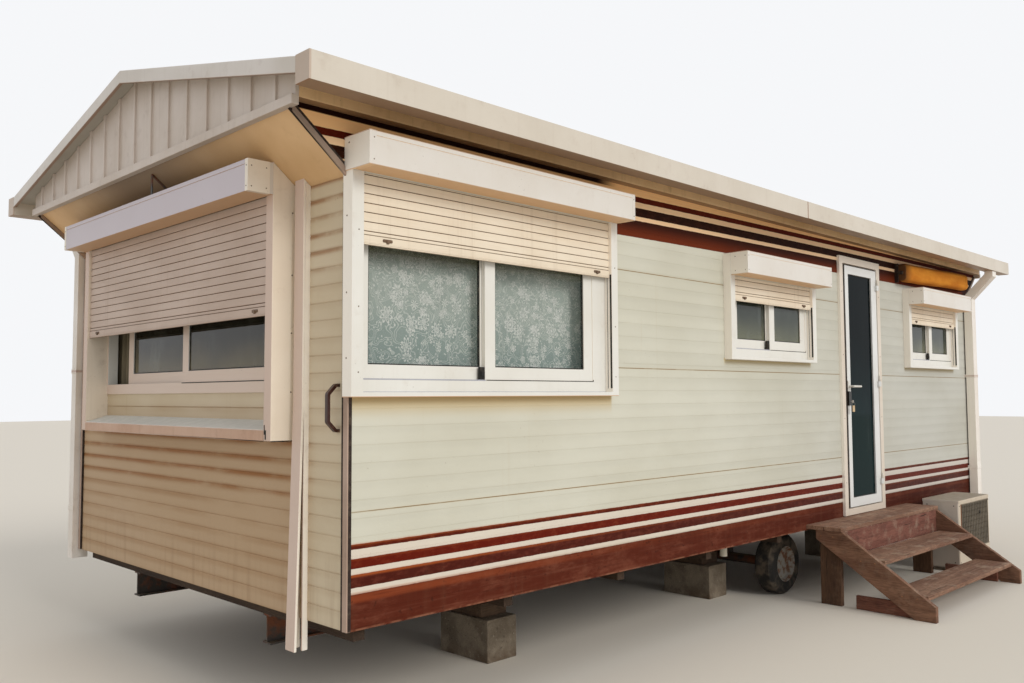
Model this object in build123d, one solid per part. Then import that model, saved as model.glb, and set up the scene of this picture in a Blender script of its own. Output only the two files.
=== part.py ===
from build123d import *
import math
import os

# A mobile home on its chassis. Millimetres: x runs along the front wall from the near end,
# y runs from the front wall to the back, z runs up from the underside of the walls.
# place() moves every piece to the part's own frame, whose origin is on the ground.

# Body
BODY_LENGTH = 7390
BODY_WIDTH = 3050
GROUND_CLEARANCE = 520
WALL = 50
FLOOR_THICK = 65
CEILING_UNDERSIDE = 2150
CEILING_THICK = 25

# Roof
EAVE_RISE = 125
RIDGE_RISE = 395
EAVE_OVERHANG = 205
VERGE_OVERHANG = 403
ROOF_THICK = 28
RIDGE_CAP_WIDTH = 180
RIDGE_CAP_THICK = 6
BARGE_THICK = 20
BARGE_HEIGHT = 68
BARGE_LIP = 8

# Gables, the boxes above the end walls that lean out over them
GABLE_DROP = 128
GABLE_OVERHANG = 325
GABLE_THICK = 30
GABLE_RIB_PITCH = 205
GABLE_RIB_WIDTH = 24
GABLE_RIB_DEPTH = 12
GABLE_TRIM_HEIGHT = 42
GABLE_TRIM_DEPTH = 6
BEAK_DROP = 227
SOFFIT_THICK = 15
EAVE_BOARD_REACH = 60
EAVE_BOARD_DROP = 95

# Gutters and downpipes
GUTTER_WIDTH = 100
GUTTER_HEIGHT = 117
GUTTER_RISE = 10
GUTTER_WALL = 4
OUTLET_WIDTH = 64
OUTLET_DEPTH = 44
DOWNPIPE_WIDTH = 100
DOWNPIPE_DEPTH = 75
DOWNPIPE_WALL = 3
DOWNPIPE_STANDOFF = 15
DOWNPIPE_BOTTOM = -60
DOWNPIPE_COLLAR = 40
DOWNPIPE_NECK_DROP = 250
CLIP_HEIGHT = 30
CLIP_HEIGHTS = (250, 1150)

# Rails and trims
RAIL_LEG = 28
RAIL_FRONT_LEG = 6
RAIL_THICK = 14
RAIL_FLANGE = 6
BEAK_RAIL_DEPTH = 14
BEAK_RAIL_THICK = 28
END_TRIM_OFFSET = 310
END_TRIM_WIDTH = 75
END_TRIM_DEPTH = 40
END_TRIM_SHEET = 12
END_TRIM_BOTTOM = -130
END_TRIM_LOOSE_BELOW = 950
END_TRIM_LEAN = 28

# Windows: the surround stands on the wall and carries the shutter box above the window,
# and the sliding sashes run in a frame in the wall
SURROUND_DEPTH = 60
SURROUND_BAR = 54
SURROUND_SILL = 22
BOX_DEPTH = 127
BOX_HEIGHT = 145
BOX_LIP = 24
BOX_GROOVE = 3
FRAME_PROUD = 10
FRAME_SILL = 60
FRAME_HEAD = 60
FRAME_LIP = 4
SASH_THICK = 22
SASH_STILE = 70
SASH_RAIL = 62
SASH_LAP = 60
TRACK_GAP = 2
GLASS_THICK = 6
SHUTTER_THICK = 12
SLAT_PITCH = 41
SLAT_GROOVE = 3
END_SLAT_HEIGHT = 50
END_SLAT_PROUD = 3

FRONT_WINDOW_X = -25
FRONT_WINDOW_WIDTH = 1784
FRONT_WINDOW_HEIGHT = 970
FRONT_WINDOW_DROP = 195
FRONT_SHUTTER_DROP = 313
FRONT_JAMBS = (8, 111)
SMALL_WINDOW_WIDTH = 1175
SMALL_WINDOW_HEIGHT = 555
SMALL_WINDOW_DROP = 375
SMALL_SHUTTER_DROP = 165
SMALL_JAMBS = (72, 29)
FAR_WINDOW_FROM_END = 362
MIDDLE_WINDOW_FROM_DOOR = 474
BACK_WINDOW_FROM_END = 1200

END_CASING_DEPTH = 136
END_CASING_BOARD = 60
END_CASING_NEAR = 413
END_CASING_FAR = 352
END_CASING_BOTTOM = 790
END_LEDGE_HEIGHT = 90
END_BOX_GAP = 6
END_WINDOW_BOTTOM = 1010
END_SHUTTER_BOTTOM = 1360
END_SHUTTER_SETBACK = 14
END_SHUTTER_HIDDEN = 90
END_JAMBS = (15, 8)
END_SASH_SLID = 250

# Door, hinged on its right side and opening outward
DOOR_WIDTH = 738
DOOR_FROM_WINDOW = 525
DOOR_BOTTOM = 45
DOOR_DROP = 65
DOOR_FRAME_BAR = 56
DOOR_FRAME_OUT = 25
DOOR_SILL_HEIGHT = 50
DOOR_GAP = 8
LEAF_STILE = 92
LEAF_RAIL = 71
LEAF_THICK = 45
LEAF_OUT = 20
DOOR_GLASS_THICK = 16
HINGE_OUT = 12
HINGE_RADIUS = 7
HINGE_LENGTH = 90
HINGE_BORE = 4
HINGE_PLAY = 0.3
HINGE_FLAP = 28
HINGE_FLAP_SINK = 4
HINGE_END_GAP = 1
HINGE_FROM_BOTTOM = 205
HINGE_FROM_TOP = 145
LATCH_HEIGHT = 1050
PLATE_WIDTH = 34
PLATE_HEIGHT = 90
PLATE_THICK = 8
LEVER_LENGTH = 140
LEVER_RADIUS = 9
LEVER_OUT = 45
LOCK_WIDTH = 44
LOCK_HEIGHT = 110
LOCK_THICK = 16
LOCK_DROP = 95

# Chassis and supports
JOIST_SIZE = 60
JOIST_COUNT = 9
BEAM_HEIGHT = 140
BEAM_WIDTH = 75
BEAM_WEB = 8
BEAM_FROM_SIDE = 765
BEAM_END_GAP = 60
PIER_LENGTH = 410
PIER_WIDTH = 230
PIER_HEIGHT = 240
PIER_FROM_END = 1445
PACKER_LENGTH = 270
PACKER_WIDTH = 200
AXLE_PAST_MIDDLE = 455
AXLE_RADIUS = 35
WHEEL_RADIUS = 225
WHEEL_WIDTH = 150
WHEEL_FROM_SIDE = 250
TYRE_SHOULDER = 25
RIM_RADIUS = 130
RIM_DISH = 35

# Steps under the door
STEP_BEFORE_DOOR = 600
STEP_PAST_DOOR = 477
PLATFORM_DEPTH = 270
PLATFORM_TOP = 40
PLANK_THICK = 30
PLANK_GAP = 4
STRINGER_THICK = 42
STRINGER_PLUMB = 200
STRINGER_REACH = 900
STRINGER_FOOT = 103
STRINGER_HEAD_GAP = 70
TREAD_COUNT = 2
TREAD_RISE = 200
TREAD_GOING = 285
TREAD_DEPTH = 270
POST_WIDTH = 155
POST_SETBACK = 35
APRON_HEIGHT = 178
APRON_THICK = 22
SIDE_BOARD_HEIGHT = 95
SIDE_BOARD_REACH = 740
SIDE_BOARD_LENGTH = 400
STEP_LAP = 10

# Fittings
GRAB_LOW = 842
GRAB_HIGH = 1037
GRAB_OUT = 60
GRAB_CORNER = 38
GRAB_BEND = 12
GRAB_BAR_WIDTH = 20
GRAB_BAR_THICK = 14
GRAB_Y = 75
AWNING_BEFORE_WINDOW = 158
AWNING_PAST_WINDOW = 204
AWNING_HEIGHT = 166
AWNING_DEPTH = 100
AWNING_ROUND = 46
AWNING_RISE = 40
AWNING_ABOVE_BOX = 42
AWNING_WALL_GAP = 10
AWNING_BRACKET = 14
AC_FROM_STEPS = 100
AC_WIDTH = 745
AC_DEPTH = 300
AC_WALL_GAP = 100
AC_TOP = 80
AC_CORNER = 12
AC_FOOT = 35
AC_FOOT_WIDTH = 60
AC_FOOT_INSET = 90
AC_FRAME_NEAR = 50
AC_FRAME_FAR = 25
AC_FRAME_TOP = 35
AC_FRAME_BOTTOM = 140
GRILLE_DEPTH = 25
GRILLE_THICK = 10
GRILLE_PITCH = 44
GRILLE_SLOT = 14
GRILLE_SLOT_DEPTH = 6
BRACKET_Y = 1420
BRACKET_INNER = 180
BRACKET_OUTER = 262
BRACKET_WIDTH = 20
BRACKET_THICK = 4
STUB_FROM_JOIST = 365
STUB_JOIST = 4
STUB_Y = 260
STUB_RADIUS = 25
STUB_LENGTH = 130

# Worked out from the values above
GROUND = -GROUND_CLEARANCE
CEILING_TOP = CEILING_UNDERSIDE + CEILING_THICK
EAVE_TOP = CEILING_TOP + EAVE_RISE
RIDGE_TOP = EAVE_TOP + RIDGE_RISE
ROOF_RUN = BODY_WIDTH / 2 + EAVE_OVERHANG
ROOF_SLOPE = RIDGE_RISE / ROOF_RUN
ROOF_PLUMB = ROOF_THICK * math.hypot(1, ROOF_SLOPE)
GABLE_BOTTOM = EAVE_TOP - GABLE_DROP
BEAK_BOTTOM = GABLE_BOTTOM - BEAK_DROP
BEAK_REACH = GABLE_OVERHANG - GABLE_THICK
BEAK_RISE = BEAK_DROP + GABLE_THICK / 2
EAVE_BOARD_BOTTOM = EAVE_TOP - EAVE_BOARD_DROP
BARGE_IN = VERGE_OVERHANG - BARGE_THICK
GUTTER_FRONT = -EAVE_OVERHANG - GUTTER_WIDTH
GUTTER_TOP = EAVE_TOP + GUTTER_RISE
GUTTER_BOTTOM = GUTTER_TOP - GUTTER_HEIGHT
FRONT_WINDOW_TOP = CEILING_UNDERSIDE - FRONT_WINDOW_DROP
SMALL_WINDOW_TOP = CEILING_UNDERSIDE - SMALL_WINDOW_DROP
FAR_WINDOW_X = BODY_LENGTH - FAR_WINDOW_FROM_END - SMALL_WINDOW_WIDTH
DOOR_END = FAR_WINDOW_X - DOOR_FROM_WINDOW
DOOR_X = DOOR_END - DOOR_WIDTH
DOOR_TOP = CEILING_UNDERSIDE - DOOR_DROP
MIDDLE_WINDOW_X = DOOR_X - MIDDLE_WINDOW_FROM_DOOR - SMALL_WINDOW_WIDTH
BACK_WINDOWS_X = (BACK_WINDOW_FROM_END, BODY_LENGTH - BACK_WINDOW_FROM_END - SMALL_WINDOW_WIDTH)
BEAM_BOTTOM = -JOIST_SIZE - BEAM_HEIGHT
PIER_TOP = GROUND + PIER_HEIGHT
PIER_X = (PIER_FROM_END, BODY_LENGTH / 2, BODY_LENGTH - PIER_FROM_END)
AXLE_X = BODY_LENGTH / 2 + AXLE_PAST_MIDDLE
STEP_X = DOOR_X - STEP_BEFORE_DOOR
STEP_END = DOOR_END + STEP_PAST_DOOR
STEP_INSET = STEP_LAP + STRINGER_THICK
AC_X = STEP_END + AC_FROM_STEPS

# The origin is the middle of the whole object's box, on the ground
ORIGIN_X = BODY_LENGTH / 2
ORIGIN_Y = (BODY_WIDTH + EAVE_OVERHANG + GUTTER_WIDTH - STRINGER_REACH) / 2


def block(x0, x1, y0, y1, z0, z1):
    """A box between two corners."""
    middle = Pos((x0 + x1) / 2, (y0 + y1) / 2, (z0 + z1) / 2)
    return middle * Box(x1 - x0, y1 - y0, z1 - z0)


def along_x(points, x0, x1):
    """An outline of (y, z) points, run from x0 to x1."""
    outline = Plane.YZ * Polygon(*points, align=None)
    return Pos(x0, 0, 0) * extrude(outline, amount=x1 - x0, dir=(1, 0, 0))


def along_y(points, y0, y1):
    """An outline of (x, z) points, run from y0 to y1."""
    outline = Plane.XZ * Polygon(*points, align=None)
    return Pos(0, y0, 0) * extrude(outline, amount=y1 - y0, dir=(0, 1, 0))


def place(piece):
    """Moves a piece from the body's corner to the part's own frame."""
    return Pos(-ORIGIN_X, -ORIGIN_Y, GROUND_CLEARANCE) * piece


def save(name, *pieces):
    """Writes one node, with one solid for each separate piece."""
    solids = [solid for piece in pieces for solid in place(piece).solids()]
    shape = solids[0] if len(solids) == 1 else Compound(children=solids)
    export_step(shape, f"parts/{name}.step")


def to_far_end(piece):
    """The same piece at the far end, mirrored."""
    return Pos(BODY_LENGTH, 0, 0) * mirror(piece, about=Plane.YZ)


def to_back(piece):
    """The same piece on the back side, mirrored."""
    return Pos(0, BODY_WIDTH, 0) * mirror(piece, about=Plane.XZ)


def to_back_near_end(piece):
    """A piece at the front's far end, turned half round to the back's near end."""
    return Pos(BODY_LENGTH, BODY_WIDTH, 0) * Rot(0, 0, 180) * piece


def roof_top(y):
    """Height of the roof's upper face over a line at y."""
    return EAVE_TOP + ROOF_SLOPE * (min(y, BODY_WIDTH - y) + EAVE_OVERHANG)


def roof_underside(y):
    """Height of the roof's lower face over a line at y."""
    return roof_top(y) - ROOF_PLUMB


def below_roof():
    """Everything under the roof, to trim what reaches up to it."""
    low, high = -EAVE_OVERHANG, BODY_WIDTH + EAVE_OVERHANG
    outline = [(low, 0), (low, roof_underside(low)), (BODY_WIDTH / 2, roof_underside(BODY_WIDTH / 2)),
               (high, roof_underside(high)), (high, 0)]
    return along_x(outline, -VERGE_OVERHANG, BODY_LENGTH + VERGE_OVERHANG)


def soffit_height(x):
    """Height of the leaning soffit's upper face, x outward from the end wall."""
    return BEAK_BOTTOM + SOFFIT_THICK + BEAK_RISE * x / BEAK_REACH


def soffit_underside(x):
    """Height of the leaning soffit's lower face, x outward from the end wall."""
    return soffit_height(x) - SOFFIT_THICK


# Shell


def opening(x, width, bottom, top, y0, y1):
    """The hole inside the surround of a window."""
    return block(x + SURROUND_BAR, x + width - SURROUND_BAR, y0, y1, bottom + SURROUND_SILL, top)


def long_wall():
    """The whole front wall with its beaks, before it is divided."""
    low, high = soffit_height(0), soffit_height(BEAK_REACH)
    outline = [(0, 0), (BODY_LENGTH, 0), (BODY_LENGTH, low), (BODY_LENGTH + BEAK_REACH, high),
               (BODY_LENGTH + BEAK_REACH, RIDGE_TOP), (-BEAK_REACH, RIDGE_TOP), (-BEAK_REACH, high), (0, low)]
    return along_y(outline, 0, WALL) & below_roof()


def wall_part(x0, x1, z0=0, z1=RIDGE_TOP):
    """A length of the front wall."""
    return long_wall() & block(x0, x1, 0, WALL, z0, z1)


def front_wall_near():
    wall = wall_part(-BEAK_REACH, DOOR_X)
    return wall - opening(*FRONT_WINDOW, 0, WALL) - opening(MIDDLE_WINDOW_X, *SMALL_WINDOW, 0, WALL)


def front_wall_far():
    return wall_part(DOOR_END, BODY_LENGTH + BEAK_REACH) - opening(FAR_WINDOW_X, *SMALL_WINDOW, 0, WALL)


def back_wall():
    wall = long_wall()
    for x in BACK_WINDOWS_X:
        wall -= opening(x, *SMALL_WINDOW, 0, WALL)
    return to_back(wall)


def end_wall():
    """A plain end wall, between the two long ones."""
    return block(0, WALL, WALL, BODY_WIDTH - WALL, 0, CEILING_TOP)


def end_glazing():
    """Where the end window begins and ends along y."""
    return (END_CASING_NEAR + END_CASING_BOARD, BODY_WIDTH - END_CASING_FAR - END_CASING_BOARD)


def end_box_bottom():
    """Foot of the end window's shutter box, which fits up under the soffit."""
    return soffit_underside(END_CASING_DEPTH) - END_BOX_GAP - BOX_HEIGHT


def near_end_wall():
    y0, y1 = end_glazing()
    return end_wall() - block(0, WALL, y0, y1, END_WINDOW_BOTTOM, end_box_bottom())


def floor():
    return block(WALL, BODY_LENGTH - WALL, WALL, BODY_WIDTH - WALL, 0, FLOOR_THICK)


def ceiling():
    return block(WALL, BODY_LENGTH - WALL, WALL, BODY_WIDTH - WALL, CEILING_UNDERSIDE, CEILING_TOP)


# Roof


def roof_front():
    """The front slope, from the eave to the ridge."""
    eave, ridge = -EAVE_OVERHANG, BODY_WIDTH / 2
    outline = [(eave, roof_underside(eave)), (eave, roof_top(eave)), (ridge, roof_top(ridge)),
               (ridge, roof_underside(ridge))]
    return along_x(outline, -BARGE_IN, BODY_LENGTH + BARGE_IN)


def ridge_cap():
    """A folded strip over the ridge."""
    middle = BODY_WIDTH / 2
    edges = [middle - RIDGE_CAP_WIDTH / 2, middle + RIDGE_CAP_WIDTH / 2]
    below = [(y, roof_top(y)) for y in (edges[0], middle, edges[1])]
    above = [(y, z + RIDGE_CAP_THICK) for y, z in reversed(below)]
    return along_x(below + above, -BARGE_IN, BODY_LENGTH + BARGE_IN)


def bargeboard():
    """The boards along the near verge, in one chevron."""
    eave, middle, back = -EAVE_OVERHANG, BODY_WIDTH / 2, BODY_WIDTH + EAVE_OVERHANG
    top = [(y, roof_top(y) + BARGE_LIP) for y in (eave, middle, back)]
    bottom = [(y, z - BARGE_HEIGHT) for y, z in reversed(top)]
    return along_x(top + bottom, -VERGE_OVERHANG, -BARGE_IN)


def gable():
    """The ribbed boarding of the near gable with the trim along its foot."""
    y0, y1 = -EAVE_BOARD_REACH, BODY_WIDTH + EAVE_BOARD_REACH
    panel = block(-GABLE_OVERHANG + GABLE_RIB_DEPTH, -BEAK_REACH, y0, y1, GABLE_BOTTOM, RIDGE_TOP)
    ribs = int((y1 - y0) / GABLE_RIB_PITCH)
    first = BODY_WIDTH / 2 - (ribs - 1) * GABLE_RIB_PITCH / 2
    for number in range(ribs):
        y = first + number * GABLE_RIB_PITCH
        panel += block(-GABLE_OVERHANG, -GABLE_OVERHANG + GABLE_RIB_DEPTH, y - GABLE_RIB_WIDTH / 2,
                       y + GABLE_RIB_WIDTH / 2, GABLE_BOTTOM, RIDGE_TOP)
    panel += block(-GABLE_OVERHANG - GABLE_TRIM_DEPTH, -BEAK_REACH, y0, y1, GABLE_BOTTOM,
                   GABLE_BOTTOM + GABLE_TRIM_HEIGHT)
    return panel & below_roof()


def end_soffit():
    """The panel that leans out from the near end wall to the gable's foot."""
    low, high = soffit_height(0), soffit_height(BEAK_REACH)
    outline = [(0, low - SOFFIT_THICK), (0, low), (-BEAK_REACH, high), (-BEAK_REACH, high - SOFFIT_THICK)]
    return along_y(outline, 0, BODY_WIDTH)


def eave_board():
    """The boxed board along the top of the front wall."""
    board = block(-BEAK_REACH, BODY_LENGTH + BEAK_REACH, -EAVE_BOARD_REACH, 0, EAVE_BOARD_BOTTOM, RIDGE_TOP)
    return board & below_roof()


def outlet():
    """The hole in the gutter's floor over the downpipe, at the body's far end."""
    middle = GUTTER_FRONT + GUTTER_WIDTH / 2
    return block(BODY_LENGTH - OUTLET_WIDTH / 2, BODY_LENGTH + OUTLET_WIDTH / 2, middle - OUTLET_DEPTH / 2,
                 middle + OUTLET_DEPTH / 2, GUTTER_BOTTOM, GUTTER_BOTTOM + GUTTER_WALL)


def gutter():
    """The front box gutter, open on top, with its ends closed and its outlet cut."""
    x0, x1 = -VERGE_OVERHANG, BODY_LENGTH + VERGE_OVERHANG
    outside = block(x0, x1, GUTTER_FRONT, -EAVE_OVERHANG, GUTTER_BOTTOM, GUTTER_TOP)
    inside = block(x0 + GUTTER_WALL, x1 - GUTTER_WALL, GUTTER_FRONT + GUTTER_WALL,
                   -EAVE_OVERHANG - GUTTER_WALL, GUTTER_BOTTOM + GUTTER_WALL, GUTTER_TOP)
    return outside - inside - outlet()


def neck_path():
    """The downpipe's line: up the wall and out to the gutter's outlet."""
    wall_y = -DOWNPIPE_STANDOFF - DOWNPIPE_DEPTH / 2
    gutter_y = GUTTER_FRONT + GUTTER_WIDTH / 2
    x = BODY_LENGTH
    points = [(x, wall_y, DOWNPIPE_BOTTOM), (x, wall_y, GUTTER_BOTTOM - DOWNPIPE_NECK_DROP),
              (x, gutter_y, GUTTER_BOTTOM - DOWNPIPE_COLLAR), (x, gutter_y, GUTTER_BOTTOM)]
    return Polyline(*points)


def downpipe():
    """A rectangular pipe with a mitred swan neck under the gutter."""
    path = neck_path()
    start = Plane(origin=path @ 0, x_dir=(1, 0, 0), z_dir=path % 0)
    outer = start * Rectangle(DOWNPIPE_WIDTH, DOWNPIPE_DEPTH)
    inner = start * Rectangle(DOWNPIPE_WIDTH - 2 * DOWNPIPE_WALL, DOWNPIPE_DEPTH - 2 * DOWNPIPE_WALL)
    pipe = sweep(outer, path=path, transition=Transition.RIGHT)
    pipe -= sweep(inner, path=path, transition=Transition.RIGHT)
    half = DOWNPIPE_WIDTH / 2
    y_out = -DOWNPIPE_STANDOFF - DOWNPIPE_DEPTH
    for z in CLIP_HEIGHTS:
        clip = block(BODY_LENGTH - half - DOWNPIPE_WALL, BODY_LENGTH + half + DOWNPIPE_WALL,
                     y_out - DOWNPIPE_WALL, 0, z, z + CLIP_HEIGHT)
        clip -= block(BODY_LENGTH - half, BODY_LENGTH + half, y_out, -DOWNPIPE_WALL, z, z + CLIP_HEIGHT)
        pipe += clip - block(BODY_LENGTH - RAIL_FRONT_LEG, BODY_LENGTH + half + DOWNPIPE_WALL, -RAIL_FLANGE, 0,
                             z, z + CLIP_HEIGHT)
    return pipe


def corner_rail():
    """The rail up the near front corner and along the beak's lower edge."""
    low, high = BEAK_BOTTOM - BEAK_RAIL_THICK, BEAK_BOTTOM + BEAK_RISE
    upright = block(-RAIL_THICK, 0, -RAIL_FLANGE, RAIL_LEG, 0, low)
    flange = block(0, RAIL_FRONT_LEG, -RAIL_FLANGE, 0, 0, BEAK_BOTTOM)
    outline = [(-RAIL_THICK, low), (0, low), (0, BEAK_BOTTOM), (-BEAK_REACH, high),
               (-BEAK_REACH, high - BEAK_RAIL_THICK)]
    return upright + flange + along_y(outline, -BEAK_RAIL_DEPTH, 0)


def end_trim():
    """Two narrow legs down the end wall, past its foot, and the cover that has come loose from them below."""
    face, back = END_TRIM_DEPTH, END_TRIM_DEPTH - END_TRIM_SHEET
    leg = [(0, END_TRIM_BOTTOM), (-back, END_TRIM_BOTTOM), (-back, soffit_underside(back)), (0, BEAK_BOTTOM)]
    y0, y1 = END_TRIM_OFFSET, END_TRIM_OFFSET + END_TRIM_WIDTH
    legs = [along_y(leg, y0, y0 + END_TRIM_SHEET), along_y(leg, y1 - END_TRIM_SHEET, y1)]
    cover = [(-back, soffit_underside(back)), (-back, END_TRIM_LOOSE_BELOW),
             (-back - END_TRIM_LEAN, END_TRIM_BOTTOM), (-face - END_TRIM_LEAN, END_TRIM_BOTTOM),
             (-face, END_TRIM_LOOSE_BELOW), (-face, soffit_underside(face))]
    return legs + [along_y(cover, y0, y1)]


# Windows, each set against the front wall's face at y = 0


def surround(x, width, bottom, top):
    """The frame that stands on the wall round a window and carries the shutter box."""
    y0 = -SURROUND_DEPTH
    frame = block(x, x + width, y0, 0, bottom, top + BOX_HEIGHT)
    return frame - opening(x, width, bottom, top, y0, 0)


def box_housing(width, face):
    """A shutter's housing from x = 0 with its foot at z = 0, a fine groove under the lip of its lid."""
    front, lid = face - BOX_DEPTH, BOX_HEIGHT - BOX_LIP
    outline = [(face, 0), (front, 0), (front, lid), (front + BOX_GROOVE, lid),
               (front + BOX_GROOVE, lid + BOX_GROOVE), (front, lid + BOX_GROOVE), (front, BOX_HEIGHT),
               (face, BOX_HEIGHT)]
    return along_x(outline, 0, width)


def shutter_box(x, width, bottom, top):
    """The housing on the surround above a window."""
    return Pos(x, 0, top) * box_housing(width, -SURROUND_DEPTH)


def slatted(width, bottom, top):
    """A shutter's curtain at x = 0, its slats parted by grooves, with a stouter slat at its foot."""
    foot = bottom + END_SLAT_HEIGHT
    outline = [(0, bottom), (0, top), (-SHUTTER_THICK, top)]
    slats = int((top - foot) / SLAT_PITCH)
    for number in range(slats):
        z = top - (number + 1) * SLAT_PITCH
        outline += [(-SHUTTER_THICK, z + SLAT_GROOVE), (-SHUTTER_THICK + SLAT_GROOVE, z)]
    outline += [(-SHUTTER_THICK, foot), (-SHUTTER_THICK - END_SLAT_PROUD, foot),
                (-SHUTTER_THICK - END_SLAT_PROUD, bottom)]
    return along_x(outline, 0, width)


def shutter(x, width, top, drop):
    """The lowered part of a roller shutter, held between the surround's bars."""
    curtain = slatted(width - 2 * SURROUND_BAR, top - drop, top)
    return Pos(x + SURROUND_BAR, -SURROUND_DEPTH / 2, 0) * curtain


def window_frame(x0, x1, z0, z1, jambs):
    """The fixed frame in the wall that the sashes slide in, with its two jambs' widths."""
    frame = block(x0, x1, -FRAME_PROUD, WALL, z0, z1)
    return frame - block(x0 + jambs[0], x1 - jambs[1], -FRAME_PROUD, WALL, z0 + FRAME_SILL, z1 - FRAME_HEAD)


def sash_places(x0, x1, jambs, slid=0):
    """Where the inner and the outer sash begin and end, and how deep each lies."""
    start, end = x0 + jambs[0], x1 - jambs[1]
    width = (end - start + SASH_LAP) / 2
    outer_depth = -FRAME_PROUD + FRAME_LIP
    inner_depth = outer_depth + SASH_THICK + TRACK_GAP
    return [(start + slid, start + slid + width, inner_depth), (end - width, end, outer_depth)]


def sashes(x0, x1, z0, z1, jambs, slid=0):
    """The frames of the two sliding sashes of one window."""
    low, high = z0 + FRAME_SILL, z1 - FRAME_HEAD
    frames = []
    for left, right, depth in sash_places(x0, x1, jambs, slid):
        frame = block(left, right, depth, depth + SASH_THICK, low, high)
        frames.append(frame - block(left + SASH_STILE, right - SASH_STILE, depth, depth + SASH_THICK,
                                    low + SASH_RAIL, high - SASH_RAIL))
    return frames


def panes(x0, x1, z0, z1, jambs, slid=0):
    """The glass in the two sashes of one window."""
    low, high = z0 + FRAME_SILL + SASH_RAIL, z1 - FRAME_HEAD - SASH_RAIL
    glass = []
    for left, right, depth in sash_places(x0, x1, jambs, slid):
        y0 = depth + (SASH_THICK - GLASS_THICK) / 2
        glass.append(block(left + SASH_STILE, right - SASH_STILE, y0, y0 + GLASS_THICK, low, high))
    return glass


def glazing(x, width, bottom, top, jambs):
    """What window_frame, sashes and panes need for a window whose surround is given."""
    return (x + SURROUND_BAR, x + width - SURROUND_BAR, bottom + SURROUND_SILL, top, jambs)


SMALL_WINDOW = (SMALL_WINDOW_WIDTH, SMALL_WINDOW_TOP - SMALL_WINDOW_HEIGHT, SMALL_WINDOW_TOP)
FRONT_WINDOW = (FRONT_WINDOW_X, FRONT_WINDOW_WIDTH, FRONT_WINDOW_TOP - FRONT_WINDOW_HEIGHT, FRONT_WINDOW_TOP)
FRONT_GLAZING = glazing(*FRONT_WINDOW, FRONT_JAMBS)


def at_small_windows(maker):
    """Puts what maker makes at the two small front windows and the two at the back."""
    front = [piece for x in (MIDDLE_WINDOW_X, FAR_WINDOW_X) for piece in maker(x)]
    back = [to_back(piece) for x in BACK_WINDOWS_X for piece in maker(x)]
    return front + back


def small_surround(x):
    return [surround(x, *SMALL_WINDOW)]


def small_sashes(x):
    place_in_wall = glazing(x, *SMALL_WINDOW, SMALL_JAMBS)
    return [window_frame(*place_in_wall)] + sashes(*place_in_wall)


def small_panes(x):
    return panes(*glazing(x, *SMALL_WINDOW, SMALL_JAMBS))


def small_box(x):
    return [shutter_box(x, *SMALL_WINDOW)]


def small_shutter(x):
    return [shutter(x, SMALL_WINDOW_WIDTH, SMALL_WINDOW_TOP, SMALL_SHUTTER_DROP)]


def front_surround():
    """The big front window's surround, notched over the corner rail."""
    return surround(*FRONT_WINDOW) - block(FRONT_WINDOW_X, RAIL_FRONT_LEG, -BEAK_RAIL_DEPTH, 0, 0, RIDGE_TOP)


def turned_to_end(piece):
    """A piece made against the front wall from x = 0, turned onto the near end wall at the window's far side."""
    return Pos(0, end_glazing()[1], 0) * Rot(0, 0, -90) * piece


def end_casing():
    """The deep boards beside the end window, up to the soffit, and the ledge between them."""
    y0, y1 = END_CASING_NEAR, BODY_WIDTH - END_CASING_FAR
    side = [(0, END_CASING_BOTTOM), (-END_CASING_DEPTH, END_CASING_BOTTOM),
            (-END_CASING_DEPTH, soffit_underside(END_CASING_DEPTH)), (0, BEAK_BOTTOM)]
    ledge = block(-END_CASING_DEPTH, 0, y0 + END_CASING_BOARD, y1 - END_CASING_BOARD, END_CASING_BOTTOM,
                  END_CASING_BOTTOM + END_LEDGE_HEIGHT)
    return [along_y(side, y0, y0 + END_CASING_BOARD), along_y(side, y1 - END_CASING_BOARD, y1), ledge]


def end_shutter_box():
    """The shutter's housing on the front of the casing."""
    y0, y1 = END_CASING_NEAR, BODY_WIDTH - END_CASING_FAR
    housing = Rot(0, 0, -90) * box_housing(y1 - y0, -END_CASING_DEPTH)
    return Pos(0, y1, end_box_bottom()) * housing


def end_place():
    """What window_frame, sashes and panes need for the end window."""
    y0, y1 = end_glazing()
    return (0, y1 - y0, END_WINDOW_BOTTOM, end_box_bottom(), END_JAMBS)


def end_sashes():
    """The end window's frame and sashes, the one further back slid partly open."""
    frames = [window_frame(*end_place())] + sashes(*end_place(), END_SASH_SLID)
    return [turned_to_end(piece) for piece in frames]


def end_panes():
    return [turned_to_end(piece) for piece in panes(*end_place(), END_SASH_SLID)]


def end_shutter():
    """The end window's curtain, behind the casing's front edges and up behind its box."""
    y0, y1 = end_glazing()
    curtain = turned_to_end(slatted(y1 - y0, END_SHUTTER_BOTTOM, end_box_bottom() + END_SHUTTER_HIDDEN))
    return Pos(-END_CASING_DEPTH + END_SHUTTER_SETBACK + SHUTTER_THICK, 0, 0) * curtain


# Door


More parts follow.
